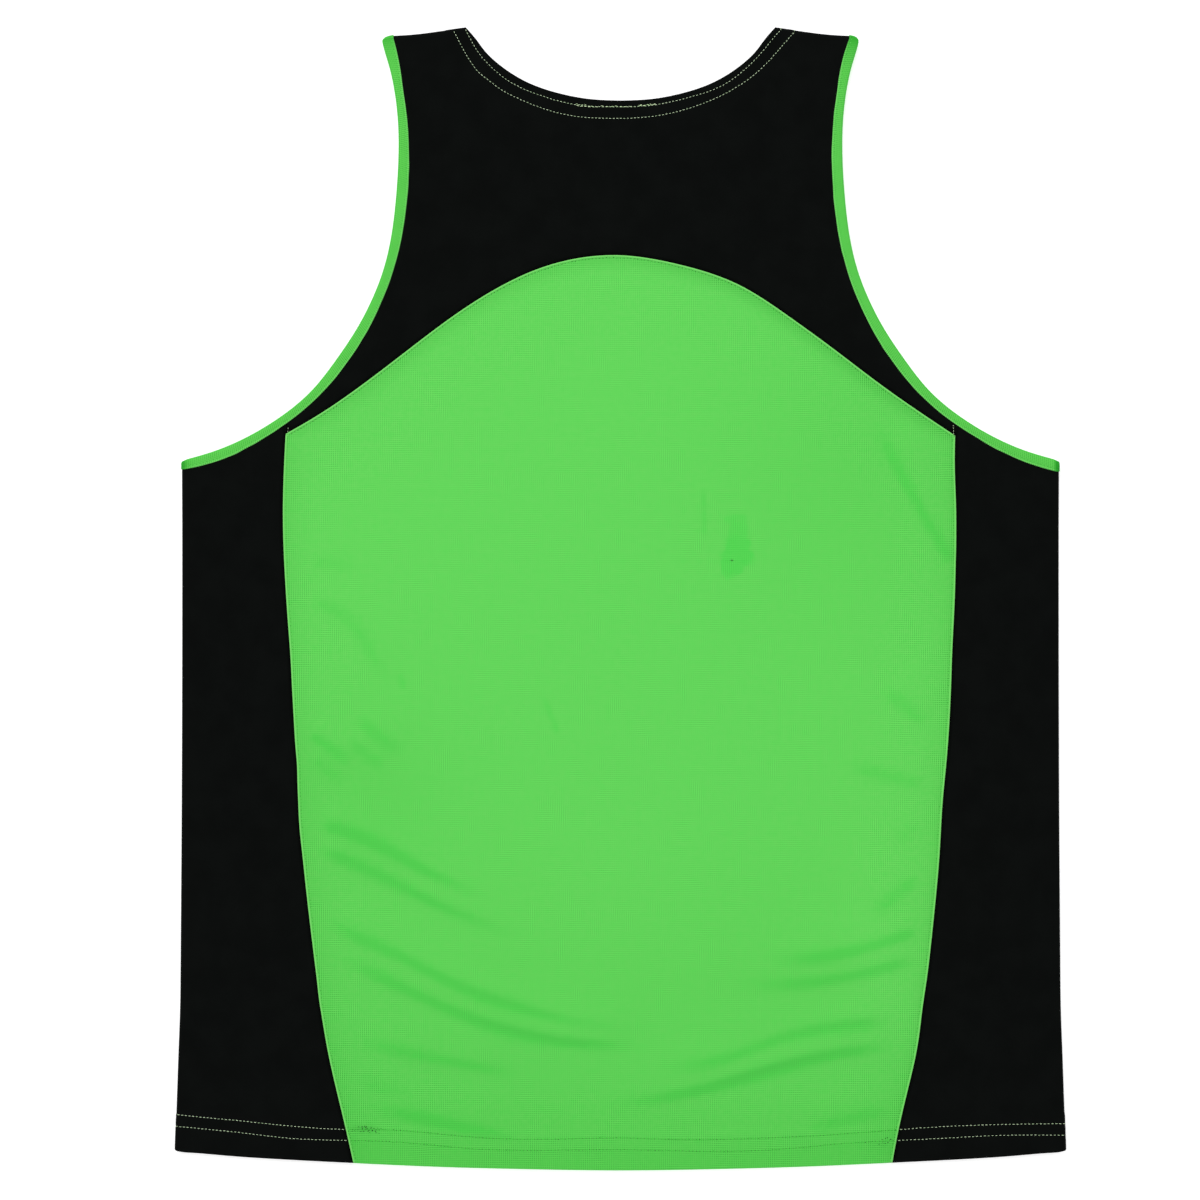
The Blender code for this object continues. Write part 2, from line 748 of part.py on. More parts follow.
def side_piece(name, side, material, parent):
    seam = side_seam(side, 20)
    below = arm_split(side, "back")[0]
    front_below = arm_split(side, "front")[0]

    def flat(path):
        """Plan points on the back as pattern points."""
        _, start = side_fold(path[:, 1], pattern_wall(path[:, 1]))
        return np.stack([path[:, 0] - start, path[:, 1]], axis=1)

    def pattern_wall(y):
        return turned(y - hem_y(fold_half(y)), HEM_DEPTH)

    def other(path):
        """The same points on the front."""
        return flat(path) * (-1, 1) + (ARC, 0)

    foot = seam[0]
    hem = hem_run(foot[0], 291.5, 20)[:-1]
    foot_y = float(hem_y(293)[0])
    arc = np.linspace(0, ARC, FOLD_LINES)
    top_back, top_front = below[0, 1], front_below[0, 1]
    round_hem = np.stack([arc, np.full(FOLD_LINES, foot_y)], axis=1)
    round_top = np.stack([arc[::-1], np.linspace(top_front, top_back, FOLD_LINES)], axis=1)
    round_top[1:-1, 1] -= 0.5 * np.sin(math.pi * arc[1:-1] / ARC)
    outline = Outline().run(flat(hem), False).run(round_hem, False).run(other(hem)[::-1], False)
    outline.gaps[-1] = SEAM_GAP / 2
    outline.run(other(seam), True).run(other(front_below)[:0:-1], True).run(round_top, True)
    outline.run(flat(below)[1:], True).run(flat(seam)[::-1], True)
    outline = outline.closed()
    y = np.linspace(foot_y + 20, top_back - 14, 21)
    lines = fold_guides(y, lambda y, t: np.stack([np.full_like(y, t), y], axis=1))
    x = np.linspace(-104, ARC + 104, 13)
    x = x[(x < -4) | (x > ARC + 4)]

    def hem_line(t, up):
        half = np.where(t < 0, 292 + t, 292 - (t - ARC))
        return np.stack([t, hem_y(half) + HEM_DEPTH + up], axis=1)

    lines += [hem_line(part, up) for up in (0, TURN_RAMP) for part in (x[x < 0], x[x > 0])]
    pattern, faces = cut(outline, YOKE_LATTICE + 5, lines)
    t = pattern[:, 0]
    half = np.where(t < 0, 292 + t, np.where(t > ARC, 292 - (t - ARC), 292))
    wall = turned(pattern[:, 1] - hem_y(half), HEM_DEPTH)
    lay = lambda flat, out, wall: wrap_side(side, flat, out, wall)
    walled(name, pattern, faces, lay, wall, material, np.array([side * 255.0, -145, 0]), parent)


def back_yoke(material, parent):
    one = lambda x: np.full(len(np.atleast_1d(x)), WALL)

    def flat(path):
        _, start = shoulder_fold(path[:, 0], one(path[:, 0]))
        return np.stack([path[:, 0], path[:, 1] - start], axis=1)

    def other(path):
        return flat(path) * (1, -1) + (0, ARC)

    def half_outline(side):
        """From the yoke's tip up the armhole and over the shoulder, then down the neck."""
        arm = flat(arm_split(side, "back")[1] * (side, 1))
        arm_front = other(armhole(side, "front", EDGE_STEP)[1] * (side, 1))[::-1]
        half = len(BACK_NECKLINE) // 2 + 1
        neck = flat(resample(BACK_NECKLINE[:half], 2) * (side, 1))
        neck = neck[neck[:, 1] < -1]
        front = other(resample(FRONT_NECKLINE[:half], 2) * (side, 1))
        front = front[(front[:, 1] > ARC + 1) & (front[:, 1] < ARC + SHOULDER_WRAP + 0.5)]
        turns = np.linspace(0, 1, FOLD_LINES)
        over = np.stack([np.linspace(arm[-1, 0], arm_front[0, 0], FOLD_LINES), ARC * turns], axis=1)
        ends = np.where(turns <= 0.5, neck[0, 0], front[0, 0])
        point = ends + (NECK_POINT * 1.01 * side - ends) * np.sin(math.pi * turns)
        under = np.stack([point, ARC * turns], axis=1)[::-1]
        foot = np.interp(ARC + SHOULDER_WRAP, arm_front[:, 1], arm_front[:, 0])
        seam = np.stack([np.linspace(foot, front[-1, 0], 5), np.full(5, ARC + SHOULDER_WRAP)], axis=1)
        down = (arm_front[:, 1] > ARC + 1) & (arm_front[:, 1] < ARC + SHOULDER_WRAP - 3)
        sewn = np.concatenate([arm[:-1], over, arm_front[down], seam])
        free = np.concatenate([resample(front[::-1][1:], 8), under, resample(neck, 7)])
        return sewn, free

    sewn_r, free_r = half_outline(1)
    sewn_l, free_l = half_outline(-1)
    corner_r, corner_l = seam_corner(1), seam_corner(-1) * (-1, 1)
    x = np.linspace(corner_l[0], corner_r[0], 35)
    arch = flat(np.stack([x, arch_y(x)], axis=1))
    outline = Outline().run(arch, True).run(sewn_r, True).run(free_r, False)
    outline.run(free_l[::-1], False)
    outline.gaps[-1] = SEAM_GAP / 2
    outline = outline.run(sewn_l[::-1], True).closed()
    lines = []
    for side in (-1, 1):
        x = np.linspace(106, 146, 4) * side
        lines += fold_guides(x, lambda x, v: np.stack([x, np.full_like(x, v)], axis=1))
    ring = np.concatenate([free_r, free_l[::-1]])
    for up in (0, TURN_RAMP):
        lines.append(neck_guide(ring, NECK_DEPTH + up))
    pattern, faces = cut(outline, YOKE_LATTICE, lines)
    wall = turned(nearest(pattern, ring), NECK_DEPTH)
    walled("back_yoke", pattern, faces, wrap_shoulder, wall, material, np.array([0, 230.0, 0]), parent)


def neck_guide(ring, away):
    """A line in the yoke's pattern at a distance from its neck edge, clear of the folds."""
    fine = resample(ring, 1.5)
    for side in (-1, 1):
        moved = fine + side * normals(fine) * away
        if abs(moved[len(moved) // 2, 1]) > abs(fine[len(fine) // 2, 1]):
            break
    keep = (nearest(moved, fine) > away - 0.2) & ((moved[:, 1] < -5) | (moved[:, 1] > ARC + 4))
    return resample_runs(moved, keep, 14)


def resample_runs(path, keep, step):
    """Kept stretches of a path, thinned to a step."""
    out, last = [], None
    for point, kept in zip(path, keep):
        if kept and (last is None or np.linalg.norm(point - last) >= step):
            out.append(point)
            last = point
    return np.array(out)


def build():
    for obj in list(bpy.data.objects):
        bpy.data.objects.remove(obj, do_unlink=True)
    garment = bpy.data.objects.new("singlet", None)
    bpy.context.scene.collection.objects.link(garment)
    black = knit("black_knit", (0.0042, 0.005, 0.0047), 0.82)
    green = knit("green_knit", (0.13, 0.66, 0.105), 0.72)
    binding = knit("green_binding", (0.105, 0.61, 0.08), 0.7)
    back_yoke(black, garment)
    back_panel(green, garment)
    front_panel(green, garment)
    side_piece("side_left", -1, black, garment)
    side_piece("side_right", 1, black, garment)
    banded("binding_left", -1, EDGE_STEP, binding, np.array([-215.0, 235, 0]), garment)
    banded("binding_right", 1, EDGE_STEP, binding, np.array([215.0, 235, 0]), garment)


build()
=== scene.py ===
"""Athletic singlet in light knit, laid flat with its back up: the finish of every surface.

Each cut piece is a thin closed shell laid on the form of its solid. The
pattern of a piece is flat; "out" is the distance outwards from the skin, which
is the outer face of one layer of cloth. Lengths are in millimetres up to the
last step, which writes metres. "drop" is measured down from the high shoulder
point, "half" outwards from the centre line, x is across and y points to the
neck.
"""

import math

import bpy
import numpy as np
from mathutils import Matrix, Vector, kdtree
from mathutils.geometry import delaunay_2d_cdt


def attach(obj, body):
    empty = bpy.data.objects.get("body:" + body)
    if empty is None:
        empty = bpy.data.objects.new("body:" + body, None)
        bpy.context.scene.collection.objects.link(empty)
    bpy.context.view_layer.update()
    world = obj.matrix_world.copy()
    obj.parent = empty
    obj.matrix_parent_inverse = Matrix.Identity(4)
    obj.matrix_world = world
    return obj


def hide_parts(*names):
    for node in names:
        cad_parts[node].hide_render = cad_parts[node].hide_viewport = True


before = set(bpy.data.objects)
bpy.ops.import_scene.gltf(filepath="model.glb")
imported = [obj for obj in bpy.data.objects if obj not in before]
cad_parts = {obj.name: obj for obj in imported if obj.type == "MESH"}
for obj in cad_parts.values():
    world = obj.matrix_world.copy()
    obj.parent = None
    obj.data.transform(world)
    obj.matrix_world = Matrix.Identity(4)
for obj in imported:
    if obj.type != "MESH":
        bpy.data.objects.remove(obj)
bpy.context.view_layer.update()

MM = 0.001

BODY_LENGTH = 754.4  # high shoulder point to the middle of the hem
HALF_CHEST = 289.5  # centre line to the side fold, below the armhole
HALF_HEM = 294.1  # centre line to the side fold, at the hem
SHOULDER_WRAP = 18.0  # the yoke's reach on the front, past the shoulder fold
NECK_POINT = 101.0  # half width where the shoulder fold starts, at the neck
SHOULDER_POINT = 158.0  # and where it ends, at the armhole
YOKE_TIP = 220.6  # half width where the yoke's point meets the side piece
FRONT_SCOOP = 4.0  # how much deeper the front armholes are cut, at mid height
HEM_DEPTH = 24.0
NECK_DEPTH = 12.5

THIN = 0.7  # one layer of the knit
DOUBLE = 1.35  # the knit turned up
TONGUE = 0.5  # the knit pressed between other layers
BACK_SKIN = 3.0  # height of the back's outer face over the surface it lies on
FRONT_SKIN = 0.3  # height of the front's outer face, which faces down
SAG_SKIN = 1.2  # height of the back's outer face where nothing lies below it
SAG_EASE = 34.0
TURN_LIFT = 0.28  # a turned-up edge stands out this much
TURN_RAMP = 1.8
EDGE_REACH = 15.0
EDGE_EASE = 34.0
ARC = math.pi * 1.45  # cloth that goes round a fold
TUCK = 2.2  # black cloth that runs on under the green at a seam
TIP_TUCK = 1.6  # the yoke's point runs on under the side piece
GRIP = 3.4  # cloth that runs on inside the armhole binding
LIP = 0.34  # height of the rolled edge of the green at a seam
SEAM_STITCH = 1.75  # from a seam to the row of stitches beside it
ALLOWANCE = 8.0  # turned-in cloth that lies under the green beside a seam
SHADE_REACH = 9.0  # how fast the painted shade of the green beside a side seam fades
BIND_OUT = 0.56  # the binding's outer face over the skin
BIND_DEEP = 1.7  # the binding from face to face
BIND_STRIP = 0.55  # one layer of the binding
STITCH = 2.35  # pitch of the stitches
HEM_STITCH = 2.27  # along the middle of the hem
FOLD_SHADE = 4.5  # half width of the painted shade along a fold

TOP = BODY_LENGTH / 2


def table(columns, rows):
    """The rows as an array whose columns go by name."""
    return np.rec.fromrecords([tuple(map(float, row)) for row in rows], names=columns)


SHOULDER = table("half, drop", [
    (96, -1.5), (102, 0.0), (108, 0.95), (114, 1.8), (120, 2.6), (127, 3.55), (134, 4.4), (141, 5.05), (148, 5.45), (158, 5.95),
])

BACK_NECK = table("half, drop", [
    (102.2, 0), (95, 8.3), (90, 15), (80, 24.5), (60, 36.6), (40, 43.3), (20, 47), (0, 48),
])

FRONT_NECK = table("half, drop", [
    (102.2, 0), (99.5, 10), (97, 24), (92, 46), (84, 72), (70, 100), (46, 126), (22, 138.5), (0, 142),
])

# The outer edge of the binding, from the shoulder to the underarm fold, and the
# width of the band there on the wearer's left and right.
ARMHOLE = table("drop, half, band_left, band_right", [
    (6.0, 158.2, 8.0, 6.4),
    (16, 155.6, 7.8, 7.3),
    (26, 152.6, 7.0, 7.0),
    (40, 149.5, 5.9, 6.2),
    (60, 147.0, 6.2, 6.4),
    (80, 146.4, 6.9, 6.9),
    (110, 147.9, 7.5, 7.5),
    (140, 151.6, 7.0, 7.0),
    (160, 156.4, 6.5, 6.7),
    (180, 164.1, 6.6, 6.9),
    (200, 174.6, 7.0, 7.3),
    (220, 188.0, 7.0, 7.4),
    (240, 204.0, 6.0, 6.3),
    (258, 225.7, 5.9, 6.0),
    (270, 245.6, 6.4, 6.3),
    (280, 268.7, 7.0, 7.2),
    (286, HALF_CHEST, 6.2, 7.8),
])

SIDE_FOLD = table("drop, half", [
    (270, HALF_CHEST), (360, HALF_CHEST - 0.1), (450, HALF_CHEST), (540, 289.9), (620, 290.5), (650, 290.9), (680, 292.0), (705, 292.8), (742, HALF_HEM), (756, HALF_HEM + 0.4),
])

PANEL_SIDE = table("drop, left, right", [
    (268.5, 220.9, 221.0),
    (320, 222.8, 221.4),
    (380, 220.4, 220.4),
    (460, 215.4, 216.8),
    (540, 210.3, 211.1),
    (620, 201.4, 203.1),
    (680, 192.3, 194.4),
    (720, 182.9, 184.9),
    (756, 174.8, 178.0),
])

ARCH = table("half, left, right", [
    (0, 150.2, 150.2),
    (20, 151.0, 152.4),
    (40, 154.7, 156.6),
    (60, 161.4, 162.3),
    (80, 171.1, 170.6),
    (110, 190.0, 189.7),
    (140, 212.5, 211.5),
    (170, 235.4, 234.3),
    (200, 256.0, 255.4),
    (221, 268.2, 269.4),
])

HEM = table("half, drop", [
    (0, 754.4), (60, 753.6), (120, 752.0), (180, 749.3), (230, 746.75), (252, 745.35), (270, 743.85), (282, 742.9), (290, 742.25), (294, 741.5),
])

# Where the side seams are drawn in or let out by the sewing, on both layers.
SEAM_PULLS = table("side, drop, more, reach", [
    (-1, 414, -0.33, 20),
    (-1, 487, -0.42, 10),
    (-1, 527, 0.55, 17),
    (-1, 642, 0.25, 10),
    (1, 288, -0.92, 22),
    (1, 411, -0.50, 26),
    (1, 513, -1.02, 28),
    (1, 647, -0.76, 19),
])
ARCH_SAG = 0.28

# Soft folds in the back. Each has its path as (x, drop), along the middle of its
# shaded slope, then its height, the width of that slope, how deep the painted
# shade on it is, and how much of its length it takes to rise at the left and to
# run out at the right.
CREASES = [
    ([(-206, 353), (-190, 354), (-170, 355.5)], 0.25, 6.0, 0.30, 0.20, 0.50),
    ([(-206, 377), (-191, 383.5), (-178.5, 392.5), (-167, 409), (-157.5, 425), (-146, 434)], 0.50, 6.0, 0.46, 0.16, 0.40),
    ([(-176, 453), (-159, 469), (-141, 482)], 0.45, 6.0, 0.60, 0.30, 0.40),
    ([(-206, 466), (-192, 476), (-176, 488)], 0.45, 5.5, 0.74, 0.15, 0.40),
    ([(-181, 469), (-167, 481), (-153, 492)], 0.40, 6.0, 0.50, 0.30, 0.40),
    ([(-205, 481), (-193, 491), (-181, 500)], 0.35, 6.0, 0.42, 0.20, 0.40),
    ([(-199, 526), (-168, 536), (-130, 556), (-82, 577)], 1.10, 6.0, 1.08, 0.08, 0.50),
    ([(-200, 542), (-163, 558), (-121, 579), (-60, 603)], 1.10, 6.0, 0.90, 0.10, 0.50),
    ([(-198, 586), (-186, 594), (-154, 609), (-107, 633), (-59, 650), (-12, 659), (30, 662)], 1.15, 6.5, 0.95, 0.14, 0.50),
    ([(-193, 609), (-180, 616), (-144, 634), (-83, 660), (-36, 670), (18, 672)], 1.30, 6.5, 0.98, 0.22, 0.22),
    ([(-180, 667), (-154, 674), (-116, 682), (-60, 693)], 0.70, 6.5, 0.75, 0.30, 0.35),
    ([(-177, 695), (-155, 700), (-133, 706)], 0.35, 6.0, 0.36, 0.30, 0.45),
    ([(-172, 711), (-154, 715), (-116, 723.5), (-82, 730), (-60, 733)], 0.50, 5.5, 1.00, 0.36, 0.35),
    ([(166, 258), (189, 302), (205, 330.5), (219, 354)], 0.90, 7.0, 0.82, 0.30, 0.06),
    ([(172, 435), (187, 448), (203, 461)], 0.50, 8.0, 0.56, 0.30, 0.30),
    ([(145, 487), (177, 494.5), (201, 501)], 0.45, 7.0, 0.54, 0.40, 0.15),
    ([(181, 540), (189, 532), (198, 523)], 0.30, 6.5, 0.26, 0.35, 0.35),
    ([(165, 586), (182, 573), (198, 559)], 0.50, 7.0, 0.60, 0.30, 0.25),
    ([(90, 616), (134, 613.5), (167, 606), (198, 596)], 0.95, 6.0, 1.00, 0.45, 0.10),
    ([(66, 630.5), (115, 631.5), (153, 626), (198, 615)], 1.00, 6.0, 0.90, 0.50, 0.16),
    ([(18, 688), (68, 681), (106, 667.5), (144, 660), (182, 656.5)], 0.95, 6.5, 0.80, 0.30, 0.15),
    ([(-20, 713), (30, 706), (78, 695), (115, 684.5), (153, 676), (184, 672)], 1.60, 7.0, 1.15, 0.38, 0.18),
    ([(118, 728), (153, 720), (181, 713.5)], 0.45, 6.0, 0.60, 0.35, 0.25),
]

# Soft folds in the front, which nothing shows; they stay below the back.
FRONT_CREASES = [
    ([(-190, 470), (-150, 482), (-108, 502), (-60, 520)], 0.70, 7.5, 0.60, 0.20, 0.40),
    ([(-184, 556), (-138, 570), (-90, 592), (-20, 610)], 0.90, 7.5, 0.75, 0.20, 0.40),
    ([(-172, 640), (-130, 650), (-80, 662), (-30, 668)], 0.70, 7.0, 0.60, 0.25, 0.40),
    ([(40, 590), (90, 586), (140, 574), (192, 552)], 0.80, 7.5, 0.70, 0.35, 0.25),
    ([(10, 672), (70, 664), (120, 650), (182, 636)], 0.90, 7.5, 0.75, 0.35, 0.25),
    ([(-60, 200), (-20, 232), (20, 240), (60, 214)], 0.60, 9.0, 0.40, 0.40, 0.40),
    ([(110, 300), (140, 322), (168, 352), (190, 390)], 0.70, 8.5, 0.50, 0.35, 0.40),
]

# Rows of stitches, as measured.
NECK_INNER = table("x, drop", [
    (-103.0, 0.3), (-100.3, 5.3), (-96.2, 13.0), (-91.2, 20.1), (-85.5, 26.1), (-77.0, 33.3), (-66.6, 39.3), (-54.1, 44.3), (-37.3, 49.3), (-20.4, 51.9),
    (-3.6, 52.3), (13.3, 51.9), (30.0, 49.7), (46.9, 45.6), (67.0, 38.4), (80.7, 29.1), (91.9, 18.2), (99.5, 9.0), (106.4, 1.0),
])

NECK_OUTER = table("x, drop", [
    (-110.4, 1.9), (-107.7, 7.0), (-104.3, 13.7), (-100.6, 20.1), (-95.6, 27.5), (-94.2, 29.2), (-88.8, 33.7), (-83.5, 37.8), (-75.6, 43.0), (-68.6, 46.4),
    (-54.1, 52.3), (-32.2, 58.1), (-10.3, 59.8), (13.3, 59.4), (38.6, 55.2), (60.4, 47.7), (77.3, 39.2), (91.9, 28.3), (105.0, 14.5), (115.2, 2.4),
])

HEM_UPPER = table("x, drop", [
    (-292.4, 717.6), (-276.5, 719.2), (-254.7, 721.2), (-232.7, 723.5), (-210.9, 725.5), (-181.8, 727.2), (-150.8, 727.6), (-117.2, 730.4), (-83.5, 733.1), (-49.8, 733.7),
    (0.3, 732.8), (33.3, 733.8), (83.9, 733.3), (134.3, 731.1), (183.3, 727.4), (213.5, 725.3), (241.2, 724.2), (263.0, 723.7), (293.1, 723.4),
])

HEM_LOWER = table("x, drop", [
    (-292.4, 725.3), (-270.9, 727.3), (-249.2, 729.5), (-227.4, 732.1), (-210.9, 733.5), (-180.8, 734.4), (-142.2, 735.8), (-100.3, 739.7), (-49.8, 741.0), (0.3, 740.6),
    (50.2, 741.6), (100.7, 740.6), (142.9, 736.9), (182.5, 734.5), (213.5, 733.0), (235.6, 731.7), (257.5, 731.0), (293.1, 731.0),
])


# ---------------------------------------------------------------- curves


def cubic(at, value):
    """A natural cubic through the rows, as a function that takes arrays."""
    at = np.asarray(at, float)
    value = np.asarray(value, float).reshape(len(at), -1)
    h = np.diff(at)
    slope = np.diff(value, axis=0) / h[:, None]
    a = np.eye(len(at))
    b = np.zeros_like(value)
    for i in range(1, len(at) - 1):
        a[i, i - 1 : i + 2] = h[i - 1], 2 * (h[i - 1] + h[i]), h[i]
        b[i] = 6 * (slope[i] - slope[i - 1])
    bend = np.linalg.solve(a, b)

    def read(x):
        x = np.atleast_1d(np.asarray(x, float))
        i = np.clip(np.searchsorted(at, x) - 1, 0, len(h) - 1)
        u, v, w = x - at[i], at[i + 1] - x, h[i]
        u, v, w = u[:, None], v[:, None], w[:, None]
        found = (
            (bend[i] * v**3 + bend[i + 1] * u**3) / (6 * w)
            + (value[i] / w - bend[i] * w / 6) * v
            + (value[i + 1] / w - bend[i + 1] * w / 6) * u
        )
        return found[:, 0] if found.shape[1] == 1 else found

    return read


def mirrored(half, value):
    """A cubic in x that is the same on both sides of the centre line."""
    return cubic(np.r_[-half[:0:-1], half], np.r_[value[:0:-1], value])


def run_of(path):
    """How far along the path each of its points lies."""
    return np.r_[0, np.cumsum(np.linalg.norm(np.diff(path[:, :2], axis=0), axis=1))]


def resample(path, step):
    """The same path with points about a step apart."""
    path = np.asarray(path, float)
    run = run_of(path)
    count = max(2, int(round(run[-1] / step)) + 1)
    at = np.linspace(0, run[-1], count)
    return np.stack([np.interp(at, run, path[:, k]) for k in range(path.shape[1])], axis=1)


def swept(columns, fine=0.5):
    """A smooth path through the rows, closely sampled."""
    rows = np.stack(columns, axis=1)
    run = run_of(rows)
    return cubic(run, rows)(np.linspace(0, run[-1], int(run[-1] / fine) + 2))


def normals(path):
    """Unit normals to the left of the way the path runs."""
    along = np.gradient(path[:, :2], axis=0)
    along /= np.maximum(np.linalg.norm(along, axis=1), 1e-9)[:, None]
    return np.stack([-along[:, 1], along[:, 0]], axis=1)


def smooth(x):
    x = np.clip(x, 0, 1)
    return x * x * (3 - 2 * x)


def bump_of(x):
    """A soft bump, 1 at 0 and nothing past 1."""
    return np.where(abs(x) < 1, 0.5 + 0.5 * np.cos(math.pi * np.clip(x, -1, 1)), 0)


def cross(a, b):
    return a[..., 0] * b[..., 1] - a[..., 1] * b[..., 0]


class Track:
    """A path that can tell, for any points, how far they lie from it and where along it."""

    def __init__(self, path, fine=0.6):
        self.path = resample(np.asarray(path, float)[:, :2], fine)
        self.run = run_of(self.path)
        self.tree = kdtree.KDTree(len(self.path))
        for i, (x, y) in enumerate(self.path):
            self.tree.insert((x, y, 0), i)
        self.tree.balance()

    def find(self, points):
        """Distance, place along the path, and side (1 is left of the way it runs)."""
        points = np.asarray(points, float)
        index = np.array([self.tree.find((x, y, 0))[1] for x, y in points.tolist()], int)
        away = np.full(len(points), np.inf)
        along, side = np.zeros(len(points)), np.ones(len(points))
        for step in (-1, 0):
            i = np.clip(index + step, 0, len(self.path) - 2)
            a, ab = self.path[i], self.path[i + 1] - self.path[i]
            u = ((points - a) * ab).sum(axis=1) / np.maximum((ab**2).sum(axis=1), 1e-12)
            u = np.clip(u, 0, 1)
            gap = points - a - ab * u[:, None]
            d = np.linalg.norm(gap, axis=1)
            better = d < away - 1e-9
            away = np.where(better, d, away)
            along = np.where(better, self.run[i] + u * (self.run[i + 1] - self.run[i]), along)
            side = np.where(better, np.where(cross(ab, points - a) >= 0, 1, -1), side)
        return away, along, side

    def away(self, points):
        return self.find(points)[0]

    def at(self, along):
        along = np.asarray(along, float)
        return np.stack([np.interp(along, self.run, self.path[:, k]) for k in (0, 1)], axis=-1)

    def left(self, along):
        """Unit normals to the left, at places along the path."""
        n = normals(self.path)
        found = np.stack([np.interp(along, self.run, n[:, k]) for k in (0, 1)], axis=-1)
        return found / np.linalg.norm(found, axis=-1, keepdims=True)


shoulder_y = cubic(SHOULDER.half, TOP - SHOULDER.drop)
hem_y = mirrored(HEM.half, TOP - HEM.drop)
fold_half = cubic(TOP - SIDE_FOLD.drop[::-1], SIDE_FOLD.half[::-1])


def side_run(side, half, let_out):
    """Half width of the middle panel at a side, with the places where its seam is drawn in or let out."""
    smooth_half = cubic(TOP - PANEL_SIDE.drop[::-1], half[::-1])
    pulls = [row for row in SEAM_PULLS if row.side == side]

    def read(y):
        y = np.atleast_1d(np.asarray(y, float))
        return smooth_half(y) + let_out + sum(row.more * np.exp(-(((TOP - y - row.drop) / row.reach) ** 2)) for row in pulls)

    return read


panel_half = {-1: side_run(-1, PANEL_SIDE.left, 0.0), 1: side_run(1, PANEL_SIDE.right, 0.25)}
arch_y = cubic(
    np.r_[-ARCH.half[:0:-1], ARCH.half],
    TOP - ARCH_SAG - np.r_[ARCH.left[:0:-1], ARCH.right],
)
front_neck_half = cubic(FRONT_NECK.drop, FRONT_NECK.half)


def neckline(rows):
    """From the wearer's right shoulder through the middle to the left one."""
    right = swept([rows.half, TOP - rows.drop])
    return np.concatenate([right, (right * (-1, 1))[-2::-1]])


BACK_NECKLINE = neckline(BACK_NECK)
FRONT_NECKLINE = neckline(FRONT_NECK)
ARM_EDGE = swept([ARMHOLE.half, TOP - ARMHOLE.drop])
ARM_TRACK = Track(ARM_EDGE, 1.5)
BACK_NECK_TRACK = Track(BACK_NECKLINE, 1.5)
FRONT_NECK_TRACK = Track(FRONT_NECKLINE, 1.5)


# ------------------------------------------- heights of the two layers


class Fold:
    """A soft fold. Light from the neck end shades the slope below its crest."""

    def __init__(self, path, high, steep, shade, rise, fall):
        x, drop = np.array(path, float).T
        band = swept([x, TOP - drop], 1.0)
        self.high, self.steep, self.shade, self.rise, self.fall = high, steep, shade, rise, fall
        self.band = Track(band, 1.5)
        self.crest = Track(band + normals(band) * 0.7 * steep, 1.5)
        self.low, self.top = band.min(axis=0) - 80, band.max(axis=0) + 80

    def near(self, points):
        return np.flatnonzero(((points > self.low) & (points < self.top)).all(axis=1))

    def ends(self, u):
        """It fades towards both ends, so that it has no rounded head."""
        return smooth(u / self.rise) * smooth((1 - u) / self.fall)


BACK_FOLDS = [Fold(*row) for row in CREASES]
FRONT_FOLDS = [Fold(*row) for row in FRONT_CREASES]


def ridges(points, folds):
    """Height of the soft folds, steep below their crests and gentle above."""
    high = np.zeros(len(points))
    for fold in folds:
        near = fold.near(points)
        if not len(near):
            continue
        away, along, side = fold.crest.find(points[near])
        wide = np.where(side > 0, fold.steep * 3.2, fold.steep) * (0.85 + 0.3 * np.sin(along / 31 + fold.steep))
        high[near] += fold.high * fold.ends(along / fold.crest.run[-1]) * np.exp(-((away / wide) ** 2))
    return high


def fold_shade(points, folds):
    """Painted shade: how deep the green is painted where the cloth leans away in a fold."""
    deep = np.zeros(len(points))
    for fold in folds:
        near = fold.near(points)
        if not len(near):
            continue
        away, along, side = fold.band.find(points[near])
        wide = FOLD_SHADE * (0.92 + 0.16 * np.sin(along / 17 + fold.steep)) * np.where(side > 0, 1.12, 0.92)
        deep[near] += fold.shade * fold.ends(along / fold.band.run[-1]) * np.exp(-((away / wide) ** 2))
    return deep


def fold_guides(folds):
    """Lines of points beside the folds."""
    found = []
    for fold in folds:
        n = fold.band.left(fold.band.run)
        found += [resample(fold.band.path + n * up, 2.4) for up in (-6, -4, -2, 0, 2, 4, 6.2, 8.6)]
    return found


def billow(points):
    """Slow, uneven rise and fall of cloth that has been laid by hand."""
    x, y = points[:, 0], points[:, 1]
    slow = 0.42 * np.sin(x / 63 + y / 140 + 0.6) * np.sin(y / 81 - 0.9)
    slow += 0.3 * np.sin((x * 0.8 - y) / 57 + 2.1) + 0.22 * np.sin((x + y * 0.35) / 34 + 4.0)
    return slow * 0.55 + 0.3


def soft_max(*parts):
    return sum(np.maximum(p, 0) ** 4 for p in parts) ** 0.25


def halves(points):
    return np.stack([abs(points[:, 0]), points[:, 1]], axis=1)


def edge_lift(points):
    """How far thick edges below hold the back layer up."""
    fall = lambda away: 1 - smooth((away - EDGE_REACH) / EDGE_EASE)
    hem = points[:, 1] - hem_y(points[:, 0]) - HEM_DEPTH - 3
    return soft_max(
        1.0 * fall(ARM_TRACK.away(halves(points))),
        0.7 * fall(BACK_NECK_TRACK.away(points)),
        0.7 * (1 - smooth(hem / EDGE_EASE)),
    )


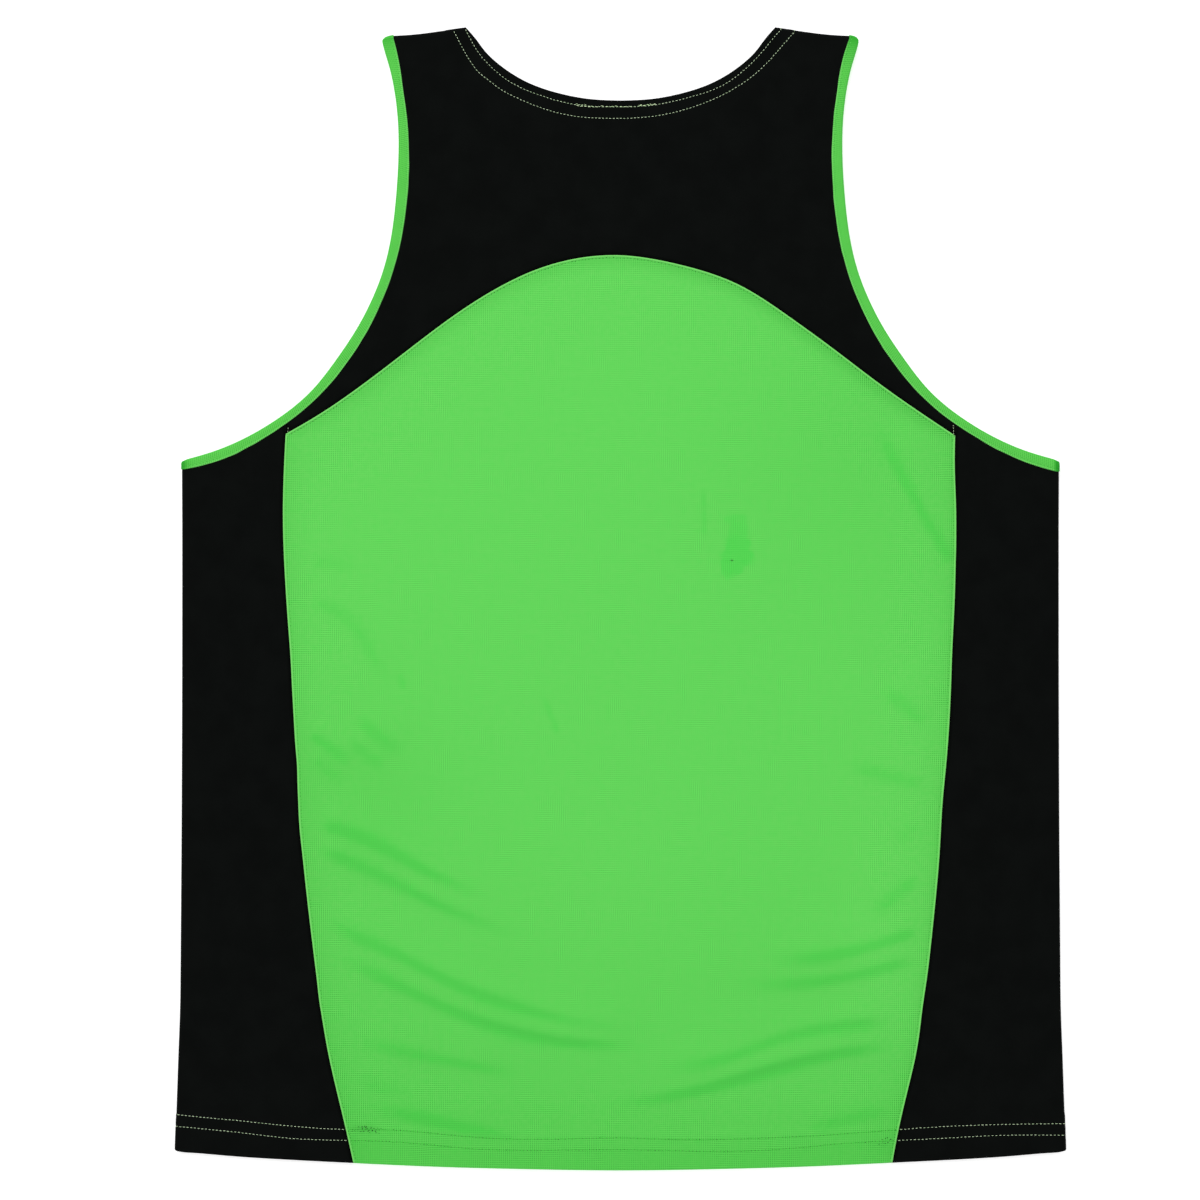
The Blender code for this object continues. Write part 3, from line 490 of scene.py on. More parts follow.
def back_skin(points):
    """Height of the outer face of the back layer."""
    points = np.asarray(points, float)
    calm = smooth((points[:, 1] - hem_y(points[:, 0])) / 30)
    high = BACK_SKIN + edge_lift(points) + ridges(points, BACK_FOLDS) * (0.35 + 0.65 * calm) + billow(points)
    drop = TOP - points[:, 1]
    deepest = FRONT_NECK.drop[-1]
    inside = (drop < deepest) & (
        abs(points[:, 0]) < front_neck_half(np.clip(drop, 0, deepest))
    )
    into = np.where(inside, FRONT_NECK_TRACK.away(points), 0)
    sag = smooth((into - 2) / SAG_EASE)
    return high * (1 - sag) + SAG_SKIN * sag


def front_skin(points):
    """Height of the outer face of the front layer, which faces down."""
    points = np.asarray(points, float)
    fall = lambda away: 1 - smooth((away - 13) / 20)
    hem = points[:, 1] - hem_y(points[:, 0]) - 13
    thick = soft_max(
        0.48 * fall(ARM_TRACK.away(halves(points))),
        0.3 * fall(FRONT_NECK_TRACK.away(points)),
        0.3 * (1 - smooth(hem / 20)),
    )
    inner = smooth((abs(points[:, 0]) - 205) / -25)
    return FRONT_SKIN + thick + ridges(points, FRONT_FOLDS) * inner


# ------------------------------------------------ laying and folding


def lay_back(flat, out):
    return np.c_[flat, back_skin(flat) + out]


def lay_front(flat, out):
    return np.c_[flat, front_skin(flat) - out]


def bend_at(edge):
    """Radius and middle height of the bend at these points of a fold line."""
    top, bottom = back_skin(edge), front_skin(edge)
    return (top - bottom) / 2, (top + bottom) / 2


def spread(at, found, x):
    """Values found at a few places, read at all of x."""
    return [np.interp(x, at, part) for part in found]


SIDE_AT = np.linspace(TOP - 760, TOP - 262, 250)
SIDE_BEND = bend_at(np.stack([fold_half(SIDE_AT), SIDE_AT], axis=1))
SIDE_START = fold_half(SIDE_AT) - SIDE_BEND[0]


def side_bend(y):
    """Radius and middle height of the side bend, and the half width where it starts."""
    return spread(SIDE_AT, (*SIDE_BEND, SIDE_START), y)


SHOULDER_AT = np.linspace(NECK_POINT, SHOULDER_POINT, 80)
SHOULDER_BEND = bend_at(np.stack([SHOULDER_AT, shoulder_y(SHOULDER_AT)], axis=1))
SHOULDER_START = shoulder_y(SHOULDER_AT) - SHOULDER_BEND[0]


def shoulder_bend(x):
    """The same of the shoulder bend, by place across. Between the shoulders it keeps its values at the neck."""
    return spread(SHOULDER_AT, (*SHOULDER_BEND, SHOULDER_START), abs(x))


def wrap_side(side):
    """Lays a side pattern: its first column is distance past the bend's start."""

    def lay(pattern, out):
        t, y = pattern[:, 0], pattern[:, 1]
        radius, centre, start = side_bend(y)
        angle = math.pi * np.clip(t / ARC, 0, 1)
        back, front = t < 0, t > ARC
        half = np.where(back, start + t, np.where(front, start - (t - ARC), start + (radius + out) * np.sin(angle)))
        flat = np.stack([side * half, y], axis=1)
        up = centre + (radius + out) * np.cos(angle)
        up[back] = back_skin(flat[back]) + (out * np.ones(len(flat)))[back]
        up[front] = front_skin(flat[front]) - (out * np.ones(len(flat)))[front]
        return np.c_[flat, up]

    return lay


def wrap_shoulder(pattern, out):
    """Lays the yoke's pattern: its second column is distance past the bend's start."""
    x, v = pattern[:, 0], pattern[:, 1]
    radius, centre, start = shoulder_bend(x)
    angle = math.pi * np.clip(v / ARC, 0, 1)
    back, front = v < 0, v > ARC
    y = np.where(back, start + v, np.where(front, start - (v - ARC), start + (radius + out) * np.sin(angle)))
    flat = np.stack([x, y], axis=1)
    up = centre + (radius + out) * np.cos(angle)
    up[back] = back_skin(flat[back]) + (out * np.ones(len(flat)))[back]
    up[front] = front_skin(flat[front]) - (out * np.ones(len(flat)))[front]
    return np.c_[flat, up]


# ---------------------------------------------------------- armholes


def stations(side, layer):
    """Outer and inner edges of a binding on one layer, underarm to shoulder.

    Both edges start where the side bend starts and end where the shoulder
    bend starts. Points are plan coordinates on the wearer's right.
    """
    band = ARMHOLE.band_left if side < 0 else ARMHOLE.band_right
    path = swept([ARMHOLE.half, TOP - ARMHOLE.drop, band])[::-1]
    if layer == "front":
        run = np.linspace(0, 1, len(path))[:, None]
        path[:, :2] += normals(path) * FRONT_SCOOP * np.sin(math.pi * run) ** 2
    across = normals(path)
    from_fold = path[0, 0] - path[:, 0]
    upright = (1 - smooth(from_fold / 16))[:, None]
    level = (1 - smooth((path[-1, 1] - path[:, 1]) / 16))[:, None]
    across = across * (1 - upright) + np.array([0, -1.0]) * upright
    across = across * (1 - level) + np.array([-1.0, 0.05]) * level
    across /= np.linalg.norm(across, axis=1)[:, None]
    inner = path[:, :2] + across * path[:, 2:]
    edges = []
    for edge in (path[:, :2], inner):
        keep = edge[:, 0] < side_bend(edge[:1, 1])[2]
        keep &= edge[:, 1] < shoulder_bend(edge[-1:, 0])[2]
        first, last = np.flatnonzero(keep)[[0, -1]]
        edges.append(edge[first : last + 1])
    return edges


def armhole(side, layer, step):
    """The two edges at matching sections."""
    outer, inner = stations(side, layer)
    length = lambda path: np.linalg.norm(np.diff(path, axis=0), axis=1).sum()
    count = int(round(length(outer) / step)) + 1
    return tuple(resample(path, length(path) / (count - 1)) for path in (outer, inner))


def arm_split(side, layer, step):
    """The inner armhole edge, cut where the yoke's tip meets it: below, above."""
    inner = armhole(side, layer, step)[1]
    at = int(np.argmax(inner[:, 0] < YOKE_TIP))
    a, b = inner[at - 1], inner[at]
    meet = a + (b - a) * (a[0] - YOKE_TIP) / (a[0] - b[0])
    below, above = inner[:at], inner[at:]
    if np.linalg.norm(below[-1] - meet) < step * 0.5:
        below = below[:-1]
    if np.linalg.norm(above[0] - meet) < step * 0.5:
        above = above[1:]
    return np.concatenate([below, meet[None]]), np.concatenate([meet[None], above])


# ----------------------------------------------------- pattern pieces


def signed_area(path):
    x, y = path[:, 0], path[:, 1]
    return 0.5 * (x * np.roll(y, -1) - y * np.roll(x, -1)).sum()


def inside(points, outline):
    x, y = points[:, 0], points[:, 1]
    found = np.zeros(len(points), bool)
    for (x0, y0), (x1, y1) in zip(outline, np.roll(outline, -1, axis=0)):
        if y0 == y1:
            continue
        found ^= ((y0 > y) != (y1 > y)) & (x < (x1 - x0) * (y - y0) / (y1 - y0) + x0)
    return found


def grown(outline, amounts):
    """The closed outline moved outwards along each of its edges by that edge's amount."""
    path, amounts = np.asarray(outline, float), np.asarray(amounts, float)
    if signed_area(path) < 0:
        path, amounts = path[::-1], np.roll(amounts[::-1], -1)
    along = np.roll(path, -1, axis=0) - path
    along /= np.linalg.norm(along, axis=1)[:, None]
    outward = np.stack([along[:, 1], -along[:, 0]], axis=1)
    before, after = np.roll(outward, 1, axis=0), outward
    d0, d1 = np.roll(amounts, 1), amounts
    turn = before[:, 0] * after[:, 1] - before[:, 1] * after[:, 0]
    sharp = abs(turn) > 0.12
    safe = np.where(sharp, turn, 1)
    mitre = (after[:, ::-1] * (1, -1)) * (d0 / safe)[:, None] - (before[:, ::-1] * (1, -1)) * (d1 / safe)[:, None]
    blunt = (before + after) / 2 * ((d0 + d1) / 2)[:, None]
    return path + np.where(sharp[:, None], mitre, blunt)


class Outline:
    """A closed outline gathered from runs of points; the cloth goes on past each run by its own amount."""

    def __init__(self):
        self.points, self.grow = [], []

    def run(self, path, grow=0.0):
        path = np.asarray(path, float)
        if self.points:
            while len(path) and np.linalg.norm(self.points[-1] - path[0]) < 0.5:
                path = path[1:]
        self.points += list(path)
        self.grow += [grow] * len(path)
        return self

    def closed(self):
        points, grow = np.array(self.points), np.array(self.grow)
        if np.linalg.norm(points[0] - points[-1]) < 0.5:
            points, grow = points[:-1], grow[:-1]
        return grown(points, grow)


EDGE_ROWS = (0.07, 0.22, 0.5, 0.9, 1.35, 1.75, 2.2, 3.2, 5.0)


def cut(outline, lattice, lines=(), close=()):
    """Triangles over an outline: rows beside its edge, rows beside guide lines, an even lattice.

    Close lines run on nearly to the edge. Returns the points, the triangles,
    which points lie on the edge, and each point's distance from it.
    """
    edge = np.asarray(outline, float)
    if signed_area(edge) < 0:
        edge = edge[::-1]
    ring = Track(np.concatenate([edge, edge[:1]]), 0.5)
    along = np.roll(edge, -1, axis=0) - np.roll(edge, 1, axis=0)
    along /= np.linalg.norm(along, axis=1)[:, None]
    inward = np.stack([-along[:, 1], along[:, 0]], axis=1)
    last = EDGE_ROWS[-1]
    found = [edge]
    for deep in EDGE_ROWS:
        row = edge + inward * deep
        keep = inside(row, edge)
        keep &= ring.away(row) > deep * 0.94
        found.append(row[keep])
    guides = []
    for line in lines:
        keep = inside(line, edge)
        keep[keep] = ring.away(line[keep]) > last + 1.0
        guides.append(line[keep])
    for line in close:
        keep = inside(line, edge)
        keep[keep] = ring.away(line[keep]) > 0.6
        guides.append(line[keep])
    x0, y0 = edge.min(axis=0)
    x1, y1 = edge.max(axis=0)
    rows = []
    for k, y in enumerate(np.arange(y0 + lattice / 2, y1, lattice * 0.866)):
        x = np.arange(x0 + lattice * (0.25 if k % 2 else 0.75), x1, lattice)
        rows.append(np.stack([x, np.full_like(x, y)], axis=1))
    even = np.concatenate(rows)
    even = even[inside(even, edge)]
    even = even[ring.away(even) > last + lattice * 0.5]
    if guides:
        guides = np.concatenate(guides)
        tree = kdtree.KDTree(len(guides))
        for i, (x, y) in enumerate(guides):
            tree.insert((x, y, 0), i)
        tree.balance()
        clear = np.array([tree.find((x, y, 0))[2] for x, y in even.tolist()]) > 1.3
        even = np.concatenate([even[clear], guides])
    found.append(even)
    points = np.concatenate(found)
    count = len(edge)
    made = delaunay_2d_cdt(
        [Vector(p) for p in points.tolist()], [(i, (i + 1) % count) for i in range(count)], [list(range(count))], 1, 1e-6
    )
    flat = np.array([tuple(v) for v in made[0]])
    faces = np.array([f for f in made[2]], int)
    on_edge = np.array([min(origin, default=count) < count for origin in made[3]])
    faces = faces[~on_edge[faces].all(axis=1)]
    away = ring.away(flat)
    away[on_edge] = 0
    return flat, faces, on_edge, away


# ------------------------------------------------------------- meshes

made_pieces = []


def triangles_to(name, points, faces, material, attributes=None, smooth_shade=True):
    """A mesh object from arrays of points in millimetres and of triangles."""
    mesh = bpy.data.meshes.new(name)
    mesh.vertices.add(len(points))
    mesh.vertices.foreach_set("co", (np.asarray(points) * MM).astype(np.float32).ravel())
    size = faces.shape[1]
    mesh.loops.add(faces.size)
    mesh.loops.foreach_set("vertex_index", faces.astype(np.int32).ravel())
    mesh.polygons.add(len(faces))
    mesh.polygons.foreach_set("loop_start", np.arange(0, faces.size, size, dtype=np.int32))
    mesh.update(calc_edges=True)
    mesh.validate()
    mesh.polygons.foreach_set("use_smooth", np.full(len(mesh.polygons), smooth_shade))
    for key, value in (attributes or {}).items():
        value = np.asarray(value, np.float32)
        kind = "FLOAT_VECTOR" if value.ndim == 2 else "FLOAT"
        held = mesh.attributes.new(key, kind, "POINT")
        held.data.foreach_set("vector" if value.ndim == 2 else "value", value.ravel())
    mesh.materials.append(material)
    obj = bpy.data.objects.new(name, mesh)
    bpy.context.scene.collection.objects.link(obj)
    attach(obj, "root")
    made_pieces.append(obj)
    return obj


def outward(points, faces):
    """The faces, turned so that a closed mesh has its outside out."""
    a, b, c = points[faces[:, 0]], points[faces[:, 1]], points[faces[:, 2]]
    volume = np.einsum("ij,ij->i", a, np.cross(b, c)).sum()
    if faces.shape[1] == 4:
        volume += np.einsum("ij,ij->i", a, np.cross(c, points[faces[:, 3]])).sum()
    return faces if volume > 0 else faces[:, ::-1]


def shell(name, outline, lattice, lay, outer, deep, material, marks, lines=(), close=()):
    """A closed thin shell over a pattern, with rolled edges.

    outer gives the outer face over the skin and deep the thickness, both for
    pattern points; marks gives what the material needs to know there.
    """
    flat, faces, on_edge, away = cut(outline, lattice, lines, close)
    out, thick = outer(flat), deep(flat)
    half = thick / 2
    rolled = half * (1 - np.sqrt(np.clip(1 - (1 - np.clip(away / half, 0, 1)) ** 2, 0, 1)))
    top = lay(flat, out - rolled)
    bottom = lay(flat, out - thick + rolled)
    count = len(flat)
    below = np.full(count, -1)
    below[~on_edge] = count + np.arange((~on_edge).sum())
    below[on_edge] = np.flatnonzero(on_edge)
    points = np.concatenate([top, bottom[~on_edge]])
    solid = np.concatenate([faces, below[faces][:, ::-1]])
    solid = outward(points, solid)
    both = lambda v: np.concatenate([v, v[~on_edge]])
    seen = {key: both(value) for key, value in marks(flat).items()}
    seen["cloth"] = both(np.c_[flat, np.zeros(count)])
    return triangles_to(name, points, solid, material, seen)


def pattern_size(outline):
    """Width and length of a cut piece and its area, in metres."""
    width, length = np.ptp(outline, axis=0) * MM
    return (float(width), float(length)), abs(float(signed_area(outline))) * MM * MM


# ------------------------------------------------------------ relief


def seam_lip(away):
    """The rolled edge of the green at a seam, the groove of its stitches and the turned-in cloth below."""
    return (
        LIP * bump_of((away - 0.55) / 1.15)
        - 0.18 * bump_of((away - SEAM_STITCH) / 0.8)
        + 0.13 * smooth((away - 1.2) / 1.3) * (1 - smooth((away - ALLOWANCE) / 1.6))
    )


def seam_dip(into, hem):
    """Black cloth dips to run on under a lip; into is how far inside its own area a point lies."""
    return -(0.5 + 0.45 * hem) * (1 - smooth((into + 0.4) / 2.4))


def turned_edge(away, depth):
    return 1 - smooth((away - depth) / TURN_RAMP)


def stitch_groove(away):
    return -0.045 * bump_of(away / 1.15)


def over_hem(points):
    """How far above the hem's edge plan points lie."""
    return points[:, 1] - hem_y(points[:, 0])


def row_path(rows, step=1.0):
    return resample(swept([rows.x, TOP - rows.drop]), step)


HEM_ROWS = [row_path(HEM_UPPER), row_path(HEM_LOWER)]
HEM_ROW_Y = [cubic(rows.x, TOP - rows.drop) for rows in (HEM_UPPER, HEM_LOWER)]


def hem_rows_away(points):
    """Distance of plan points from the nearer row of hem stitches."""
    return np.minimum(*[abs(points[:, 1] - row(points[:, 0])) for row in HEM_ROW_Y])


def hem_guides(x0, x1):
    """Lines of points beside the hem's rows of stitches."""
    x = np.arange(x0, x1, 1.9)
    return [np.stack([x, row(x) + up], axis=1) for row in HEM_ROW_Y for up in (-1.1, 0, 1.1)] + [
        np.stack([x, hem_y(x) + HEM_DEPTH + up], axis=1) for up in (1.4,)
    ]


# ------------------------------------------------------------ stitches

# A stitch: how far along it each ring lies, the height of the ring's middle
# over the cloth, and its size.
STITCH_RINGS = table("along, up, plump", [
    (-0.5, -0.24, 0.45), (-0.34, 0.02, 0.9), (0, 0.13, 1.0), (0.34, 0.02, 0.9), (0.5, -0.24, 0.45),
])
STITCH_SIDES = 6


class Sewing:
    """Gathers the stitches and needle holes of one piece of cloth."""

    def __init__(self, name, lay, outer, seed):
        self.name, self.lay, self.outer = name, lay, outer
        self.dice = np.random.default_rng(seed)
        self.sets = {}
        self.count = {}

    def add(self, key, points, faces, marks):
        held = self.sets.setdefault(key, [[], [], []])
        base = self.count.get(key, 0)
        held[0].append(points)
        held[1].append(faces + base)
        held[2].append(marks)
        self.count[key] = base + len(points)

    def row(self, key, path, pitch=STITCH, long=1.4, fat=0.36, wobble=0.05, ends=0.6, shift=0.0, lift=0.0, skip=0.0, leave=None):
        """A row of stitches along a path in the pattern; leave tells which places are to stay free."""
        track = Track(path, 0.4)
        total = track.run[-1] - 2 * ends
        if total < pitch * 0.8:
            return
        count = max(1, int(round(total / pitch)))
        step = total / count
        middle = ends + (np.arange(count) + 0.5) * step
        if skip:
            middle = middle[self.dice.random(count) > skip]
        if leave:
            middle = middle[~leave(track.at(middle))]
        count = len(middle)
        lean = self.dice.normal(0, wobble, (count, 2))
        length = long * (1 + self.dice.normal(0, 0.06, count)) * step / pitch
        thick = fat * (1 + self.dice.normal(0, 0.07, count))
        rings, sides = len(STITCH_RINGS), STITCH_SIDES
        turn = np.arange(sides) * 2 * math.pi / sides
        a = np.repeat(STITCH_RINGS.along, sides)
        up = np.repeat(STITCH_RINGS.up, sides)
        size = np.repeat(STITCH_RINGS.plump, sides)
        b, c = np.tile(np.cos(turn), rings), np.tile(np.sin(turn), rings)
        s = middle[:, None] + a * length[:, None]
        across = shift + lean[:, :1] + lean[:, 1:] * a * 2 + b * size * thick[:, None] / 2
        rise = up + lift + c * size * thick[:, None] / 2 * 0.85
        at = track.at(s.ravel()) + track.left(s.ravel()) * across.reshape(-1, 1)
        base = track.at(middle) + track.left(middle) * shift
        level = np.repeat(self.outer(base), rings * sides)
        points = self.lay(at, level + rise.ravel())
        ring = np.arange(rings * sides).reshape(rings, sides)
        quads = [
            (ring[i, j], ring[i, (j + 1) % sides], ring[i + 1, (j + 1) % sides], ring[i + 1, j])
            for i in range(rings - 1)
            for j in range(sides)
        ]
        tris = [t for q in quads for t in ((q[0], q[1], q[2]), (q[0], q[2], q[3]))]
        for end in (ring[0], ring[-1][::-1]):
            tris += [(end[0], end[k + 1], end[k]) for k in range(1, sides - 1)]
        tris = np.array(tris)
        one = outward(points[: rings * sides], tris)
        faces = (one[None] + (np.arange(count) * rings * sides)[:, None, None]).reshape(-1, 3)
        tone = np.repeat(self.dice.random(count), rings * sides)
        self.add(key, points, faces, tone)
        return middle, step, track, shift

    def holes(self, path, pitch=STITCH, wide=0.66, long=0.78, ends=0.6, shift=0.0, wobble=0.1):
        """Needle holes between the stitches of a row: small dark discs that paint the shade in the pits where the
        thread pulls the cloth in.
        """
        track = Track(path, 0.4)
        total = track.run[-1] - 2 * ends
        if total < pitch * 0.8:
            return
        count = max(1, int(round(total / pitch)))
        step = total / count
        middle = ends + np.arange(count + 1) * step
        lean = self.dice.normal(0, wobble, (len(middle), 2))
        sides = 7
        turn = np.arange(sides) * 2 * math.pi / sides
        grow = 1 + self.dice.normal(0, 0.13, len(middle))
        s = (middle + lean[:, 0])[:, None] + np.r_[0, np.cos(turn)] * long / 2 * grow[:, None]
        across = shift + lean[:, 1:] + np.r_[0, np.sin(turn)] * wide / 2 * grow[:, None]
        rise = np.tile(np.r_[0.08, np.full(sides, 0.02)], (len(middle), 1))
        at = track.at(s.ravel()) + track.left(s.ravel()) * across.reshape(-1, 1)
        top = self.lay(at, self.outer(at) + rise.ravel())
        under = self.lay(at.reshape(len(middle), -1, 2)[:, 0], self.outer(at.reshape(len(middle), -1, 2)[:, 0]) - 0.2)
        size = sides + 2
        points = np.concatenate([top.reshape(len(middle), sides + 1, 3), under[:, None]], axis=1).reshape(-1, 3)
        tris = []
        for k in range(sides):
            p, q = 1 + k, 1 + (k + 1) % sides
            tris += [(0, p, q), (sides + 1, q, p)]
        one = outward(points[:size], np.array(tris))
        faces = (one[None] + (np.arange(len(middle)) * size)[:, None, None]).reshape(-1, 3)
        self.add("hole", points, faces, np.repeat(self.dice.random(len(middle)), size))

    def finish(self, materials):
        """One joined mesh for each kind of thread."""
        made = []
        for key, (points, faces, marks) in self.sets.items():
            obj = triangles_to(
                f"{self.name}_{key}", np.concatenate(points), np.concatenate(faces), materials[key], {"tone": np.concatenate(marks)}
            )
            made.append(obj)
        return made


# ----------------------------------------------------------- materials


class Finish:
    """A material built from nodes, written as sums on numbers and sockets."""

    def __init__(self, name, rough, shine, sheen=0.0, sheen_rough=0.5):
        self.material = bpy.data.materials.new(name)
        self.material.use_nodes = True
        self.tree = self.material.node_tree
        self.shader = self.tree.nodes["Principled BSDF"]
        self.shader.inputs["Metallic"].default_value = 0
        self.shader.inputs["Roughness"].default_value = rough
        self.shader.inputs["Specular IOR Level"].default_value = shine
        self.shader.inputs["Sheen Weight"].default_value = sheen
        self.shader.inputs["Sheen Roughness"].default_value = sheen_rough
        self.held = {}

    def plug(self, value, socket):
        if hasattr(value, "is_output"):
            self.tree.links.new(value, socket)
        elif isinstance(value, (tuple, list)):
            socket.default_value = (*value, 1) if len(socket.default_value) == 4 else tuple(value)
        else:
            socket.default_value = value

    def mark(self, name, part="Fac"):
        """A value or vector that the mesh holds at its points."""
        if (name, part) not in self.held:
            node = self.tree.nodes.new("ShaderNodeAttribute")
            node.attribute_name = name
            self.held[name, part] = node.outputs[part]
        return self.held[name, part]

    def sum(self, kind, *values, clamp=False):
        node = self.tree.nodes.new("ShaderNodeMath")
        node.operation = kind
        node.use_clamp = clamp
        for value, socket in zip(values, node.inputs):
            self.plug(value, socket)
        return node.outputs[0]

    def vector(self, kind, *values, scale=None):
        node = self.tree.nodes.new("ShaderNodeVectorMath")
        node.operation = kind
        for value, socket in zip(values, node.inputs):
            self.plug(value, socket)
        if scale is not None:
            self.plug(scale, node.inputs["Scale"])
        return node.outputs["Value" if kind in ("LENGTH", "DISTANCE", "DOT_PRODUCT") else "Vector"]

    def ramp(self, value, low, high, to_low=0.0, to_high=1.0):
        node = self.tree.nodes.new("ShaderNodeMapRange")
        node.interpolation_type = "SMOOTHSTEP"
        for v, name in ((value, "Value"), (low, "From Min"), (high, "From Max"), (to_low, "To Min"), (to_high, "To Max")):
            self.plug(v, node.inputs[name])
        return node.outputs["Result"]

    def noise(self, at, scale, detail=2.0, part="Fac"):
        node = self.tree.nodes.new("ShaderNodeTexNoise")
        self.plug(at, node.inputs["Vector"])
        node.inputs["Scale"].default_value = scale
        node.inputs["Detail"].default_value = detail
        return node.outputs["Color" if part == "Color" else 0]

    def blend(self, share, a, b, kind="MIX"):
        node = self.tree.nodes.new("ShaderNodeMix")
        node.data_type = "RGBA"
        node.blend_type = kind
        node.clamp_factor = True
        self.plug(share, node.inputs["Factor"])
        colours = [s for s in node.inputs if s.type == "RGBA"]
        self.plug(a, colours[0])
        self.plug(b, colours[1])
        return next(s for s in node.outputs if s.type == "RGBA")

    def split(self, value):
        node = self.tree.nodes.new("ShaderNodeSeparateXYZ")
        self.plug(value, node.inputs[0])
        return node.outputs["X"], node.outputs["Y"]

    def colour(self, value):
        self.plug(value, self.shader.inputs["Base Color"])

    def bump(self, height, depth, strength=1.0):
        """Bump from a height between 0 and 1; depth is in millimetres."""
        node = self.tree.nodes.new("ShaderNodeBump")
        node.inputs["Strength"].default_value = strength
        node.inputs["Distance"].default_value = depth * MM
        self.plug(height, node.inputs["Height"])
        self.tree.links.new(node.outputs["Normal"], self.shader.inputs["Normal"])

    def wave(self, value, pitch, phase=0.0):
        """Between -1 and 1, once every pitch."""
        return self.sum("COSINE", self.sum("MULTIPLY_ADD", value, 2 * math.pi / pitch, phase))


GREEN = (0.1398, 0.682, 0.110)
GREEN_DEEP = (0.030, 0.330, 0.028)
GREEN_HEM_AND_SHADE = (0.0957, 0.5936, 0.0776)
# A painted highlight on rolled edges.
GREEN_LIP_HIGHLIGHT = (0.203, 0.706, 0.151)
GREEN_STAIN = (0.0925, 0.674, 0.087)
SHADE_AND_PULL_TINT = (0.65, 0.970, 0.77)  # painted shade multiplied in where the mesh leans away in a fold, as it shows less of its pale haze there; also used at pulls and for uneven haze
BLACK = (0.0028, 0.0034, 0.0031)
BIND_GREEN = (0.101, 0.577, 0.0735)
BIND_SHADE_GREEN = (0.003, 0.320, 0.003)  # painted shade where the binding turns over a fold and along its outer edge
MESH_PITCH = 1.41  # the mesh's holes, both ways
HOLE_SHARE = 0.158  # the mean of their pattern

# A faint tall stain on the wearer's right, as blots that run together.
STAIN = table("x, drop, across, down, deep", [
    (76.4, 325.0, 8.4, 3.8, 0.62),
    (77.6, 333.5, 7.0, 8.2, 0.78),
    (77.6, 342.5, 8.6, 7.6, 1.0),
    (77.5, 349.5, 10.8, 7.0, 1.0),
    (73.5, 354.0, 8.6, 7.2, 1.0),
    (71.5, 359.0, 5.2, 4.8, 0.80),
])
PIN_HOLE = (73.5, 351.9)

# Faint narrow pulls in the mesh, from one end to the other as (x, drop), with
# half their width and how deep the green turns.
PULLS = [
    ((-49.5, 445.0), (-42.4, 463.5), 1.7, 0.50),
    ((54.8, 309.0), (55.4, 332.5), 1.8, 0.40),
    ((-144.9, 429.0), (-143.4, 435.0), 1.9, 0.55),
]


def pull_at(m, at, start, end, half):
    """How near the cloth lies to a straight pull, between 0 and 1."""
    (x0, d0), (x1, d1) = start, end
    run = (x1 - x0, d0 - d1, 0.0)
    off = m.vector("SUBTRACT", at, (x0, TOP - d0, 0.0))
    share = m.sum("DIVIDE", m.vector("DOT_PRODUCT", off, run), run[0] ** 2 + run[1] ** 2, clamp=True)
    gap = m.vector("LENGTH", m.vector("SUBTRACT", off, m.vector("SCALE", run, scale=share)))
    return m.ramp(gap, 1.7 * half, 0.2 * half)


